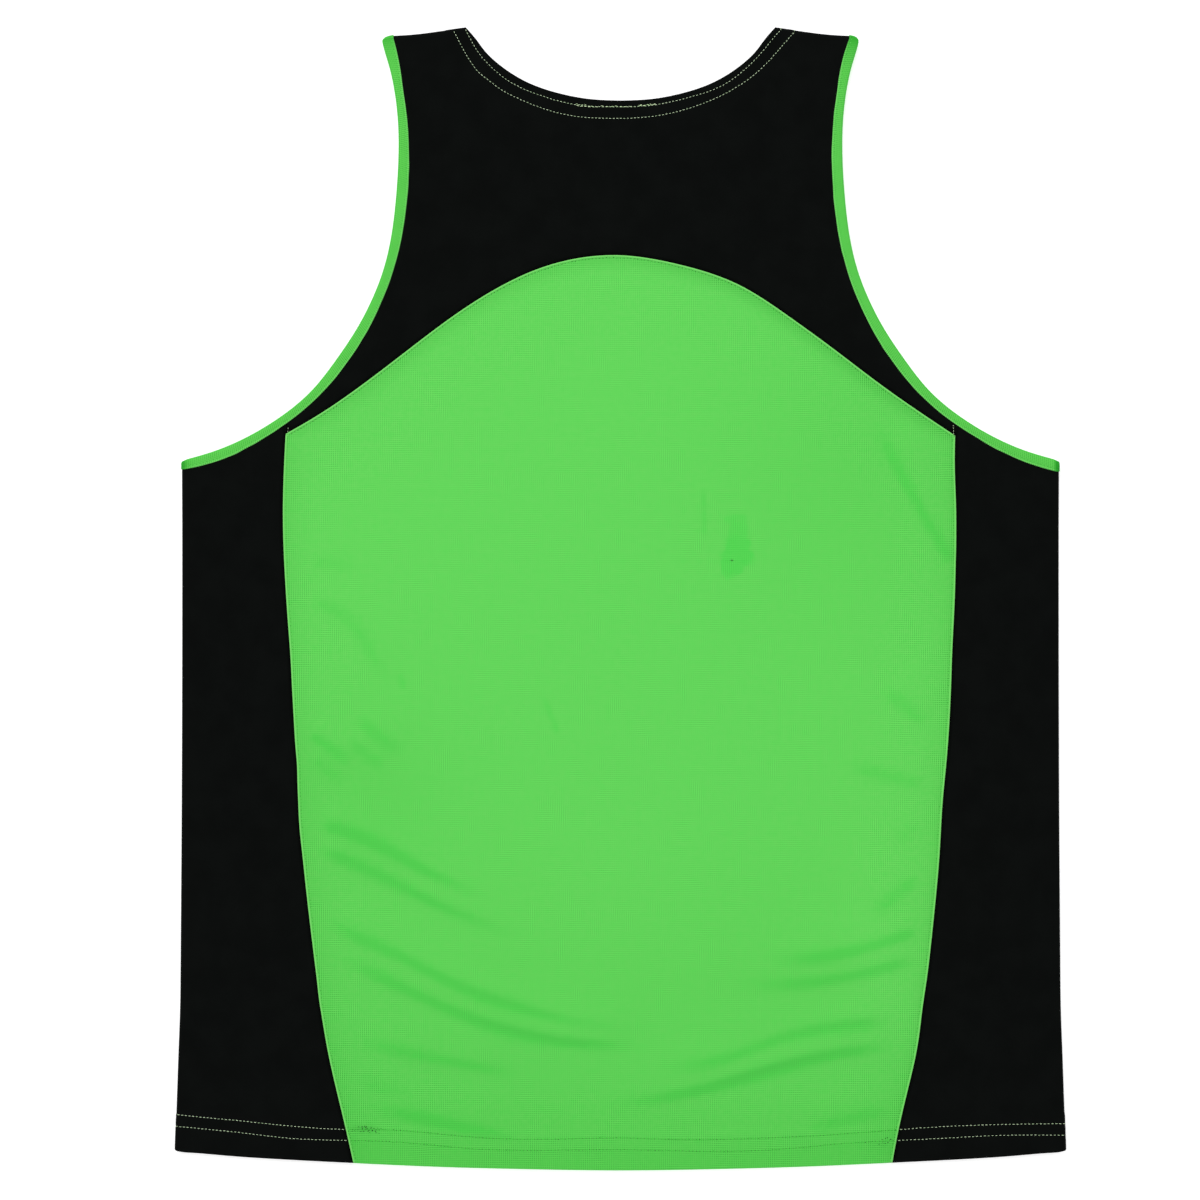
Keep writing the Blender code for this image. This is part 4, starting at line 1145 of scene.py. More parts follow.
def green_mesh():
    """Birdseye mesh knit: a square grid of small holes, seen unevenly."""
    m = Finish("green_birdseye_mesh", 0.78, 0.16, 0.10, 0.5)
    at = m.mark("cloth", "Vector")
    drift = m.vector("SUBTRACT", m.noise(at, 0.016, 2.0, "Color"), (0.5, 0.5, 0.5))
    at_warped = m.vector("ADD", at, m.vector("SCALE", drift, scale=3.2))
    x, y = m.split(at_warped)
    wale, course = m.wave(x, MESH_PITCH), m.wave(y, MESH_PITCH)
    both = m.sum("ADD", wale, course)
    hole = m.ramp(both, 0.35, 1.95)
    patch = m.ramp(m.noise(at, 0.045, 3.0), 0.36, 0.64, 0.45, 1.15)
    lean = m.ramp(m.noise(m.vector("ADD", at, (431.0, 77.0, 0.0)), 0.075, 1.0), 0.42, 0.58)
    stripes = m.sum("ADD", m.sum("MULTIPLY", wale, lean), m.sum("MULTIPLY", course, m.sum("SUBTRACT", 1.0, lean)))
    # The pattern is even around nothing, so that it changes the look and not the tone.
    edge = m.mark("seam")
    calm = m.ramp(m.split(at)[1], TOP - 380, TOP - 200, 0.37, 0.29)
    strength = m.sum("MULTIPLY", patch, m.sum("MULTIPLY_ADD", edge, 0.25, m.sum("MULTIPLY_ADD", m.mark("hem"), 0.25, calm)))
    weave = m.sum("MULTIPLY_ADD", hole, 1.15, m.sum("MULTIPLY_ADD", stripes, 0.26, -1.15 * HOLE_SHARE))
    # Painted shade: beside the seams the green is painted darker.
    dark = m.sum("ADD", m.sum("MULTIPLY", weave, strength), m.sum("MULTIPLY_ADD", edge, 0.40, 0.20), clamp=True)
    # The hem's second layer, and painted shade lower down: the green is blended deeper towards the hem.
    colour = m.blend(m.mark("hem"), GREEN, GREEN_HEM_AND_SHADE)
    wobble = m.sum("MULTIPLY_ADD", m.noise(at, 0.22, 3.0), 1.0, -0.5)
    stain = None
    for lobe in STAIN:
        off = m.vector("SUBTRACT", at, (float(lobe.x), float(TOP - lobe.drop), 0.0))
        reach = m.vector("LENGTH", m.vector("DIVIDE", off, (float(lobe.across), float(lobe.down), 1.0)))
        part = m.ramp(m.sum("ADD", reach, wobble), 1.16, 0.80, 0.0, float(lobe.deep))
        stain = part if stain is None else m.sum("MAXIMUM", stain, part)
    stain = m.sum("MULTIPLY", stain, m.mark("back"))
    colour = m.blend(stain, colour, GREEN_STAIN)
    off = m.vector("SUBTRACT", at, (PIN_HOLE[0], TOP - PIN_HOLE[1], 0.0))
    pin = m.ramp(m.vector("LENGTH", m.vector("DIVIDE", off, (0.85, 0.5, 1.0))), 1.25, 0.7)
    pin = m.sum("MULTIPLY", pin, m.mark("back"))
    pulls = [m.sum("MULTIPLY", pull_at(m, at, *ends, half), deep) for *ends, half, deep in PULLS]
    pulled = m.sum("MULTIPLY", m.sum("ADD", pulls[0], m.sum("ADD", *pulls[1:])), m.mark("back"))
    # The knit's pale haze is a little uneven everywhere.
    haze = m.sum("MULTIPLY_ADD", m.noise(m.vector("ADD", at, (90.0, 310.0, 0.0)), 0.30, 3.0), 1.1, -0.35)
    # Painted shade: the green is multiplied deeper along folds that lean away from the light, and also at pulls and
    # where its haze is uneven.
    colour = m.blend(m.sum("ADD", haze, m.sum("ADD", m.mark("fold"), pulled)), colour, SHADE_AND_PULL_TINT, "MULTIPLY")
    colour = m.blend(dark, colour, GREEN_DEEP)
    # Painted highlight on the green's rolled edge at a seam.
    colour = m.blend(m.mark("lip"), colour, GREEN_LIP_HIGHLIGHT)
    # Darker spots by the hem where it meets the side seams.
    colour = m.blend(m.mark("worn"), colour, GREEN_DEEP)
    colour = m.blend(pin, colour, (0.012, 0.10, 0.012))
    m.colour(colour)
    relief = m.sum("SUBTRACT", m.sum("MULTIPLY_ADD", m.sum("ADD", wale, course), -0.12, 0.7), m.sum("MULTIPLY", hole, 0.35))
    relief = m.sum("SUBTRACT", relief, m.sum("MULTIPLY", pin, 0.6))
    m.bump(relief, 0.10)
    return m.material


def black_knit():
    """Fine matte jersey; its wales show only close up."""
    m = Finish("black_matte_jersey", 0.9, 0.02, 0.03, 0.45)
    at = m.mark("cloth", "Vector")
    drift = m.vector("SUBTRACT", m.noise(at, 0.02, 2.0, "Color"), (0.5, 0.5, 0.5))
    x, y = m.split(m.vector("ADD", at, m.vector("SCALE", drift, scale=2.4)))
    wale = m.wave(x, 0.72)
    course = m.wave(m.sum("ADD", y, m.sum("MULTIPLY", m.sum("ABSOLUTE", wale), 0.18)), 0.62)
    grain = m.sum("MULTIPLY_ADD", m.sum("ADD", m.sum("MULTIPLY", wale, 0.6), m.sum("MULTIPLY", course, 0.4)), 0.3, 0.5)
    mottle = m.ramp(m.noise(at, 0.05, 3.0), 0.3, 0.7, 0.88, 1.12)
    share = m.sum("MULTIPLY", m.sum("MULTIPLY_ADD", grain, 0.5, 0.75), mottle)
    colour = m.blend(1.0, BLACK, m.vector("SCALE", (1.0, 1.0, 1.0), scale=share), "MULTIPLY")
    # Painted shade: the black is painted darker where it dips under the green at a seam.
    colour = m.blend(m.mark("dip"), colour, (0.0008, 0.0010, 0.0009))
    m.colour(colour)
    m.bump(grain, 0.09)
    return m.material


def green_binding():
    """The binding's knit runs across the strip, with fine ribs along it."""
    m = Finish("green_knit_binding", 0.76, 0.16, 0.10, 0.5)
    at = m.mark("cloth", "Vector")
    drift = m.vector("SUBTRACT", m.noise(at, 0.05, 2.0, "Color"), (0.5, 0.5, 0.5))
    along, across = m.split(m.vector("ADD", at, m.vector("SCALE", drift, scale=0.9)))
    row = m.wave(along, 1.38)
    rib = m.wave(across, 1.05)
    hole = m.ramp(m.sum("ADD", row, rib), 0.3, 1.95)
    patch = m.ramp(m.noise(at, 0.09, 3.0), 0.36, 0.64, 0.5, 1.1)
    weave = m.sum("MULTIPLY_ADD", hole, 1.5, m.sum("MULTIPLY_ADD", row, 0.36, -1.5 * HOLE_SHARE))
    dark = m.sum("MULTIPLY_ADD", weave, patch, 0.12, clamp=True)
    # Painted highlight on the binding's rolled lip.
    colour = m.blend(m.mark("lip"), BIND_GREEN, GREEN_LIP_HIGHLIGHT)
    # Painted shade where the binding turns over a fold and along its outer edge.
    colour = m.blend(m.mark("rim"), colour, BIND_SHADE_GREEN)
    colour = m.blend(dark, colour, GREEN_DEEP)
    m.colour(colour)
    m.bump(m.sum("SUBTRACT", m.sum("MULTIPLY_ADD", row, 0.22, 0.6), m.sum("MULTIPLY", hole, 0.3)), 0.12)
    return m.material


def thread(name, colour, dark):
    """Sewing thread; stitches differ a little in tone."""
    m = Finish(name, 0.6, 0.25, 0.05, 0.4)
    tone = m.mark("tone")
    m.colour(m.blend(m.sum("POWER", tone, 1.6), colour, dark))
    node = m.tree.nodes.new("ShaderNodeTexCoord")
    ply = m.noise(node.outputs["Object"], 5200.0, 1.0)
    m.bump(ply, 0.05)
    return m.material


def studio_floor():
    m = Finish("floor_paper", 0.95, 0.0)
    at = m.tree.nodes.new("ShaderNodeTexCoord").outputs["Object"]
    m.colour(m.blend(m.noise(at, 3.0, 2.0), (0.86, 0.86, 0.86), (0.875, 0.875, 0.875)))
    # A light table: it glows a little, so that thin cloth casts hardly any shadow.
    m.shader.inputs["Emission Color"].default_value = (1, 1, 1, 1)
    m.shader.inputs["Emission Strength"].default_value = 0.45
    return m.material


# -------------------------------------------------------------- pieces


def hem_run(x0, x1, step=1.9):
    x = np.linspace(x0, x1, max(2, int(abs(x1 - x0) / step) + 1))
    return np.stack([x, hem_y(x)], axis=1)


def seam_foot(side):
    """Where a side seam meets the hem, as half width."""
    half = float(panel_half[side](hem_y(180))[0])
    for _ in range(4):
        half = float(panel_half[side](hem_y(half))[0])
    return half


def seam_corner(side):
    drop = ARCH.left[-1] if side < 0 else ARCH.right[-1]
    half = float(panel_half[side](TOP - drop)[0])
    return np.array([half, float(arch_y(side * half)[0])])


def side_seam(side, step=1.9):
    """From the hem up to the corner with the yoke, as half width and height."""
    half = seam_foot(side)
    y = np.linspace(float(hem_y(half)[0]), seam_corner(side)[1], int(460 / step) + 1)
    return np.stack([panel_half[side](y), y], axis=1)


def arch_run(step=1.9):
    """From the wearer's right corner of the middle panel to its left one."""
    x = np.linspace(seam_corner(1)[0], -seam_corner(-1)[0], int(442 / step) + 1)
    return np.stack([x, arch_y(x)], axis=1)


def inner_row(track, away, side=1):
    """A path beside a track."""
    n = track.left(track.run)
    return track.path + n * away * side


def hem_share(points):
    return turned_edge(over_hem(points), HEM_DEPTH)


# Broad places where the green is painted a little darker or lighter than round them.
TONES = table("x, drop, across, down, more", [
    (158, 285, 90, 95, 0.30),
    (-175, 505, 45, 55, 0.24),
    (196, 600, 38, 70, -0.50),
    (60, 690, 140, 40, -0.16),
    (0, 555, 70, 85, -0.10),
    (-150, 510, 45, 85, 0.09),
])


def hem_mark(points):
    """How strongly the second layer of the hem shows, with the painted shade that darkens the green towards the hem and
    the broad darker or lighter places.
    """
    above = over_hem(points)
    lower = HEM_ROW_Y[1](points[:, 0])
    upper = HEM_ROW_Y[0](points[:, 0])
    y = points[:, 1]
    band = 1 - smooth((y - lower + 0.8) / 1.6)
    between = 1 - smooth((y - upper - 0.2) / 1.8)
    # Painted shade: the green is painted a little darker towards the hem, as the light falls off down the garment.
    dull = np.interp(TOP - y, [440, 520, 590, 650, 700, 718], [0, 0.06, 0.18, 0.36, 0.56, 0.68])
    for t in TONES:
        dull = dull + t.more * smudge(points, t.x, t.drop, t.across, t.down)
    dull = np.clip(dull, 0, 1)
    return np.maximum(dull, np.maximum(band, 0.8 * between)) * smooth(above / 0.5 + 1)


def smudge(p, x, drop, across, down):
    """A soft dark spot."""
    return np.exp(-(((p[:, 0] - x) / across) ** 2) - ((p[:, 1] - TOP + drop) / down) ** 2)


def make_back_panel():
    left, right = side_seam(-1), side_seam(1)
    arch = arch_run()
    outline = (
        Outline()
        .run(hem_run(-left[0, 0], right[0, 0]))
        .run(right)
        .run(arch)
        .run((left * (-1, 1))[::-1])
        .closed()
    )
    seam = Track(np.concatenate([right, arch[1:-1], (left * (-1, 1))[::-1]]))
    parts = [Track(right), Track(left * (-1, 1)), Track(arch)]

    def beside(p):
        """Painted shade: how much darker the green is painted beside a seam; most so below the arch on the wearer's
        right.
        """
        right_side, left_side = (np.exp(-np.maximum(part.away(p) - 1.5, 0) / SHADE_REACH) for part in parts[:2])
        away = parts[2].away(p)
        top = 0.68 * np.exp(-((away / 6.5) ** 2)) + 0.09 * np.exp(-away / 12)
        return np.maximum(0.40 * np.maximum(right_side, left_side), (0.78 + 0.22 * smooth(p[:, 0] / 60)) * top)

    def outer(p):
        away = seam.away(p)
        stitched = stitch_groove(hem_rows_away(p)) * smooth(away / 3)
        return seam_lip(away) + TURN_LIFT * hem_share(p) + stitched

    deep = lambda p: THIN + (DOUBLE - THIN) * hem_share(p)

    def marks(p):
        away = seam.away(p)
        return {
            "seam": beside(p),
            # Where the rolled edge of the green gets its painted highlight.
            "lip": 0.78 * (1 - smooth((away - 0.6) / 0.8)),
            "hem": hem_mark(p),
            "fold": fold_shade(p, BACK_FOLDS),
            # Two darker spots by the hem where it meets the side seams.
            "worn": 0.50 * smudge(p, -169, 726.6, 8.5, 1.8) + 0.18 * smudge(p, 171, 737.4, 6, 2.4),
            "back": np.ones(len(p)),
        }

    obj = shell("back_panel_knit", outline, 3.0, lay_back, outer, deep, GREEN_MESH, marks, hem_guides(-188, 190) + fold_guides(BACK_FOLDS))
    sewing = Sewing("back_panel_stitches", lay_back, outer, 11)
    edge_row = inner_row(seam, SEAM_STITCH)
    edge_row = edge_row[seam.away(edge_row) > SEAM_STITCH * 0.93]
    sewing.row("tonal", edge_row, 2.3, 1.3, 0.36)
    below = parts[2].away(edge_row) > 4
    first, last = np.flatnonzero(~below)[[0, -1]]
    sewing.holes(edge_row[: first + 1], 2.3, 0.40, 0.52)
    sewing.holes(edge_row[first : last + 1], 2.3, 0.54, 0.70)
    sewing.holes(edge_row[last:], 2.3, 0.40, 0.52)
    for row, track in zip(HEM_ROWS, HEM_ROW_Y):
        keep = inside(row, outline)
        keep[keep] = seam.away(row[keep]) > 1.2
        sewing.row("deep", row[keep], HEM_STITCH, 1.3)
        sewing.holes(row[keep], HEM_STITCH, 0.50, 0.62)
    # Where the turned hem crosses the side seams, the machine has gone over it more than once.
    for x0, x1, up in ((-178, -160, -0.8), (-171, -156, 0.7), (-166, -158, -2.0), (-175, -163, 2.4), (170, 178, -1.3), (172, 180, 1.1)):
        line = HEM_ROWS[0 if x0 < 0 else 1]
        part = line[(line[:, 0] > x0) & (line[:, 0] < x1)]
        sewing.holes(part + (0, up), 1.9, 0.60, 0.80, wobble=0.4)
    return obj, sewing, outline


def make_front_panel():
    left, right = side_seam(-1), side_seam(1)
    neck = FRONT_NECKLINE[: len(FRONT_NECKLINE) // 2 + 1]
    seam_at = lambda x: shoulder_bend(np.atleast_1d(x))[2] - SHOULDER_WRAP
    low = int(np.argmax(neck[:, 1] < seam_at(neck[:, 0])))
    neck = resample(neck[low:], 1.9)

    def upper(side):
        above = arm_split(side, "front", 1.9)[1]
        return above[above[:, 1] < seam_at(above[:, 0]) - 0.8]

    def strap(side):
        arm = armhole(1 if side > 0 else -1, "front", 1.9)[1]
        foot = float(np.interp(seam_at(148)[0], arm[:, 1], arm[:, 0]))
        x = np.linspace(foot, neck[0, 0], 24)
        return np.stack([x, seam_at(x)], axis=1)

    whole_neck = np.concatenate([neck, (neck * (-1, 1))[-2::-1]])
    outline = Outline().run(hem_run(-left[0, 0], right[0, 0])).run(right)
    outline.run(upper(1), GRIP).run(strap(1)).run(whole_neck)
    outline.run((strap(-1) * (-1, 1))[::-1]).run((upper(-1) * (-1, 1))[::-1], GRIP)
    outline.grow[-1] = GRIP
    outline = outline.run((left * (-1, 1))[::-1]).closed()
    seams = [Track(right), Track((left * (-1, 1))), Track(strap(1)), Track(strap(-1) * (-1, 1))]
    neck_track = Track(whole_neck)
    arms = [Track(armhole(side, "front", 1.9)[1] * (side, 1)) for side in (1, -1)]

    def seam_away(p):
        return np.minimum.reduce([s.away(p) for s in seams])

    def grip(p):
        """How far past the binding's inner edge a point lies."""
        best = np.full(len(p), -99.0)
        for arm, sign in zip(arms, (1, -1)):
            away, _, side = arm.find(p)
            beyond = np.where(side * sign < 0, away, -away)
            best = np.maximum(best, np.where(away < 8, beyond, -99))
        return best

    def outer(p):
        away = seam_away(p)
        bound = smooth((grip(p) + 2.5) / 2.0)
        neck_away = neck_track.away(p)
        stitched = stitch_groove(np.minimum(hem_rows_away(p), np.minimum(abs(neck_away - 4.3), abs(neck_away - 12)))) * smooth(away / 3)
        raised = seam_lip(away) * (1 - bound) + TURN_LIFT * np.maximum(hem_share(p), turned_edge(neck_away, NECK_DEPTH))
        return raised + stitched - 0.03 * bound

    def deep(p):
        bound = smooth((grip(p) + 2.0) / 2.0)
        folded = np.maximum(hem_share(p), turned_edge(neck_track.away(p), NECK_DEPTH))
        return (THIN + (DOUBLE - THIN) * folded) * (1 - bound) + TONGUE * bound

    def marks(p):
        away, neck_away = seam_away(p), neck_track.away(p)
        neck_band = 0.9 * turned_edge(neck_away, 4.3) + 0.4 * (1 - turned_edge(neck_away, 4.3)) * turned_edge(neck_away, 12.0)
        return {
            # Painted shade beside the seams, as on the back.
            "seam": 0.40 * np.exp(-np.maximum(away - 1.5, 0) / SHADE_REACH),
            # Where the rolled edge of the green gets its painted highlight.
            "lip": 0.78 * (1 - smooth((away - 0.6) / 0.8)),
            "hem": np.maximum(hem_mark(p), neck_band),
            "fold": fold_shade(p, FRONT_FOLDS),
            "worn": np.zeros(len(p)),
            "back": np.zeros(len(p)),
        }

    guides = hem_guides(-188, 190)
    rows = [resample(inner_row(neck_track, away, SIDE_OF_NECK), 1.9) for away in (11.0, 12.0, 13.4)]
    rows = [row[neck_track.away(row) > 10.8] for row in rows]
    obj = shell("front_panel_knit", outline, 3.5, lay_front, outer, deep, GREEN_MESH, marks, guides + rows)
    sewing = Sewing("front_panel_stitches", lay_front, outer, 12)

    def kept(row, least=1.0):
        keep = inside(row, outline)
        keep[keep] = grip(row[keep]) < -least
        return row[keep]

    for row in HEM_ROWS:
        path = kept(row)
        path = path[seam_away(path) > 1.2]
        sewing.row("deep", path, HEM_STITCH, 1.3)
        sewing.holes(path, HEM_STITCH, 0.50, 0.62)
    for away in (4.3, 12.0):
        row = inner_row(neck_track, away, SIDE_OF_NECK)
        row = kept(row[neck_track.away(row) > away * 0.97])
        row = row[seam_away(row) > 1.0]
        sewing.row("deep", row, long=1.3)
        sewing.holes(row, wide=0.50, long=0.62)
    for seam in seams:
        for sign in (1, -1):
            row = inner_row(seam, SEAM_STITCH, sign)
            if inside(row[len(row) // 2][None], outline)[0]:
                break
        row = kept(row, 0.6)
        row = row[neck_track.away(row) > 1.5]
        row = row[over_hem(row) > 1.0]
        sewing.row("tonal", row, 2.3, 1.3, 0.36)
        sewing.holes(row, 2.3, 0.5, 0.62)
    return obj, sewing, outline


SIDE_OF_NECK = 1 if inside(
    (FRONT_NECKLINE[len(FRONT_NECKLINE) // 2] + normals(FRONT_NECKLINE)[len(FRONT_NECKLINE) // 2] * 5)[None],
    np.concatenate([FRONT_NECKLINE, [[-150.0, 377.0], [-150, 100], [150, 100], [150, 377]]]),
)[0] else -1


def make_side(side):
    seam = side_seam(side)
    below = {layer: arm_split(side, layer, 1.9)[0] for layer in ("back", "front")}
    word = "left" if side < 0 else "right"

    def flat(path):
        """Plan points on the back as pattern points."""
        return np.stack([path[:, 0] - side_bend(path[:, 1])[2], path[:, 1]], axis=1)

    def other(path):
        """The same points on the front."""
        return flat(path) * (-1, 1) + (ARC, 0)

    def plan(p):
        """Pattern points as half widths and heights, for what is measured in plan."""
        start = side_bend(p[:, 1])[2]
        t = p[:, 0]
        return np.stack([np.where(t < 0, start + t, np.where(t > ARC, start - (t - ARC), start + 1.2)), p[:, 1]], axis=1)

    hem = hem_run(seam[0, 0], 291.5)[:-1]
    foot_y = float(hem_y(293)[0])
    top_back, top_front = below["back"][0, 1], below["front"][0, 1]
    arc = np.linspace(0, ARC, 5)
    round_hem = np.stack([arc, foot_y + 0.6 * np.sin(math.pi * arc / ARC) ** 2], axis=1)
    round_top = np.stack([arc[::-1], np.linspace(top_front, top_back, 5)], axis=1)
    round_top[1:-1, 1] -= 0.5 * np.sin(math.pi * arc[1:-1] / ARC)
    outline = Outline().run(flat(hem)).run(round_hem).run(other(hem)[::-1])
    outline.grow[-1] = TUCK
    outline.run(other(seam), TUCK)
    outline.grow[-1] = 0.0
    outline.run(other(below["front"])[::-1], GRIP).run(round_top, GRIP).run(flat(below["back"]), GRIP)
    outline.grow[-1] = 0.0
    outline = outline.run(flat(seam)[::-1], TUCK)
    outline = outline.closed()
    seams = [Track(flat(seam)), Track(other(seam))]
    arm = Track(np.concatenate([other(below["front"])[::-1], round_top[1:-1], flat(below["back"])]))

    def into(p):
        """How far inside the seams a point lies; under the green it is negative."""
        best = np.full(len(p), 99.0)
        for track, sign in zip(seams, (-1, 1)):
            away, _, left = track.find(p)
            best = np.minimum(best, away * np.where(left * sign > 0, 1, -1))
        return best

    def grip(p):
        away, _, left = arm.find(p)
        return np.where(left < 0, away, -away) * ARM_SIGN + 0 * away

    # The armhole edge runs from the front over the fold to the back; find its outer side once.
    probe = np.array([[ARC / 2, top_back + 2.0]])
    _, _, left = arm.find(probe)
    ARM_SIGN = 1 if left[0] < 0 else -1

    def outer(p):
        flat_plan = plan(p)
        hem = hem_share(flat_plan)
        inner, bound = into(p), smooth((grip(p) + 1.0) / 1.0)
        stitched = stitch_groove(hem_rows_away(flat_plan * (side, 1))) * smooth(inner / 3)
        raised = seam_dip(inner, hem) + TURN_LIFT * hem * smooth(inner / 2) + stitched
        return raised * (1 - bound) - 0.03 * bound

    def deep(p):
        hem = hem_share(plan(p)) * smooth((into(p) - 0.5) / 2)
        thick = THIN + (DOUBLE - THIN) * hem
        pressed = np.maximum(smooth((grip(p) + 1.5) / 1.5), 1 - smooth((into(p) - 0.2) / 1.4))
        return thick * (1 - pressed) + TONGUE * pressed

    def marks(p):
        # The black's painted shade where it dips under the green.
        return {"dip": 1 - smooth((into(p) - 0.2) / 1.8)}

    guide_rows, round_rows = [], []
    for row in HEM_ROW_Y:
        t = np.arange(-120, ARC + 120, 1.9)
        half = np.where(t < 0, 292 + t, np.where(t > ARC, 292 - (t - ARC), 292))
        guide_rows += [np.stack([t, row(half * side) + up], axis=1) for up in (-1.1, 0, 1.1)]
    y = np.arange(foot_y, top_back + 4, 2.6)
    round_rows += [np.stack([np.full_like(y, t), y], axis=1) for t in np.linspace(-1.2, ARC + 1.2, 7)]
    lay = wrap_side(side)
    obj = shell(f"side_{word}_knit", outline, 3.2, lay, outer, deep, BLACK_JERSEY, marks, guide_rows, round_rows)
    sewing = Sewing(f"side_{word}_stitches", lay, outer, 13 + side)
    for row in HEM_ROW_Y:
        t = np.arange(-130, ARC + 130, 0.5)
        start = side_bend(np.full(len(t), foot_y + 20))[2]
        half = np.where(t < 0, start + t, np.where(t > ARC, start - (t - ARC), start + 1.2))
        path = np.stack([t, row(half * side)], axis=1)
        path = path[into(path) > 0.15]
        sewing.row("pale", path, 2.44 if side < 0 else 2.57, 1.62, 0.265, ends=0.1)
    return obj, sewing, outline


def make_yoke():
    def flat(path):
        return np.stack([path[:, 0], path[:, 1] - shoulder_bend(path[:, 0])[2]], axis=1)

    def other(path):
        return flat(path) * (1, -1) + (0, ARC)

    def parts(side):
        """The armhole and neck edges, from the yoke's point over the shoulder to the front seam."""
        arm = flat(arm_split(side, "back", 1.9)[1] * (side, 1))
        arm_front = other(armhole(side, "front", 1.9)[1] * (side, 1))[::-1]
        half = len(BACK_NECKLINE) // 2 + 1
        neck = flat(resample(BACK_NECKLINE[:half], 1.9) * (side, 1))
        neck_foot = np.interp(0, neck[::-1, 1], neck[::-1, 0])
        neck = neck[neck[:, 1] < -0.6]
        front = other(resample(FRONT_NECKLINE[:half], 1.9) * (side, 1))
        front_foot = np.interp(ARC, front[:, 1], front[:, 0])
        front = front[(front[:, 1] > ARC + 0.6) & (front[:, 1] < ARC + SHOULDER_WRAP + 0.5)]
        turns = np.linspace(0, 1, 6)
        over = np.stack([np.linspace(arm[-1, 0], arm_front[0, 0], 6), ARC * turns], axis=1)
        ends = np.where(turns <= 0.5, neck_foot, front_foot)
        point = ends + (NECK_POINT * 1.01 * side - ends) * np.sin(math.pi * turns)
        under = np.stack([point, ARC * turns], axis=1)[::-1]
        foot = np.interp(ARC + SHOULDER_WRAP, arm_front[:, 1], arm_front[:, 0])
        seam = np.stack([np.linspace(foot, front[-1, 0], 26), np.full(26, ARC + SHOULDER_WRAP)], axis=1)
        down = (arm_front[:, 1] > ARC + 0.8) & (arm_front[:, 1] < ARC + SHOULDER_WRAP - 0.8)
        bound = np.concatenate([arm[:-1], over, arm_front[down]])
        free = np.concatenate([front[::-1][1:], under, neck])
        return bound, seam, free

    bound_r, seam_r, free_r = parts(1)
    bound_l, seam_l, free_l = parts(-1)
    corner_r, corner_l = seam_corner(1), seam_corner(-1) * (-1, 1)
    x = np.linspace(corner_l[0], corner_r[0], 234)
    arch = flat(np.stack([x, arch_y(x)], axis=1))
    outline = Outline().run(arch, TUCK)
    outline.grow[-1] = TIP_TUCK
    outline.run(bound_r, GRIP).run(seam_r, TUCK).run(free_r)
    outline.run(free_l[::-1])
    outline.run(seam_l[::-1], TUCK)
    outline.run(bound_l[::-1], GRIP)
    outline.grow[-1] = TIP_TUCK
    outline = outline.closed()

    arch_track = Track(arch)
    seam_tracks = [Track(seam_r), Track(seam_l)]
    arm_tracks = [Track(bound_r), Track(bound_l)]
    neck = np.concatenate([free_r, free_l[::-1]])
    neck_track = Track(neck)
    tips = [
        Track(np.stack([arch[-1] + (arch[-1] - bound_r[0]) * 0.6, bound_r[0] + (bound_r[0] - arch[-1]) * 0.6])),
        Track(np.stack([arch[0] + (arch[0] - bound_l[0]) * 0.6, bound_l[0] + (bound_l[0] - arch[0]) * 0.6])),
    ]

    def signed(track, p, probe):
        """Distance from a track, positive on the probe's side."""
        away, _, left = track.find(p)
        _, _, mine = track.find(np.asarray(probe, float)[None])
        return away * np.where(left == mine[0], 1, -1)

    centre = np.array([0.0, -90.0])

    def into(p):
        best = signed(arch_track, p, centre)
        for track, s in zip(seam_tracks, (1, -1)):
            best = np.minimum(best, signed(track, p, (130.0 * s, ARC + 9)))
        for track, s in zip(tips, (1, -1)):
            away, _, _ = track.find(p)
            near = (abs(p[:, 0]) > 190) & (p[:, 1] < -150)
            best = np.where(near, np.minimum(best, signed(track, p, (195.0 * s, float(arch[-1, 1]) + 14))), best)
        return best

    def grip(p):
        best = np.full(len(p), -99.0)
        for track, s in zip(arm_tracks, (1, -1)):
            beyond = -signed(track, p, (130.0 * s, -20.0))
            best = np.maximum(best, np.where(abs(beyond) < 12, beyond, -99))
        return best

    rows = [neck_row(NECK_INNER, 4.3, flat, other), neck_row(NECK_OUTER, 12.0, flat, other)]
    row_tracks = [Track(row) for row in rows]

    def outer(p):
        inner, bound = into(p), smooth((grip(p) + 1.0) / 1.0)
        neck_away = neck_track.away(p)
        folded = turned_edge(neck_away, NECK_DEPTH)
        grooves = stitch_groove(np.minimum(*[track.away(p) for track in row_tracks])) * smooth(inner / 3)
        raised = seam_dip(inner, folded * 0.6) + TURN_LIFT * folded * smooth(inner / 2) + grooves
        return raised * (1 - bound) - 0.03 * bound

    def deep(p):
        folded = turned_edge(neck_track.away(p), NECK_DEPTH) * smooth((into(p) - 0.5) / 2)
        thick = THIN + (DOUBLE - THIN) * folded
        pressed = np.maximum(smooth((grip(p) + 1.5) / 1.5), 1 - smooth((into(p) - 0.2) / 1.4))
        return thick * (1 - pressed) + TONGUE * pressed

    def marks(p):
        # The black's painted shade where it dips under the green.
        return {"dip": 1 - smooth((into(p) - 0.2) / 1.8)}

    guides, round_rows = [], []
    for track in row_tracks:
        guides += [resample(track.path + track.left(track.run) * up, 1.9) for up in (-1.1, 0, 1.1)]
    for s in (-1, 1):
        x = np.arange(98, 158, 1.5) * s
        round_rows += [np.stack([x, np.full_like(x, v)], axis=1) for v in np.linspace(-1.2, ARC + 1.2, 7)]
    obj = shell("back_yoke_knit", outline, 3.1, wrap_shoulder, outer, deep, BLACK_JERSEY, marks, guides, round_rows)
    sewing = Sewing("back_yoke_stitches", wrap_shoulder, outer, 16)
    for row in rows:
        keep = inside(row, outline) & (into(row) > 0.8)
        sewing.row("pale", row[keep], 2.34, 1.55, 0.28, leave=lambda p: abs(p[:, 1] - ARC / 2) < 0.9)
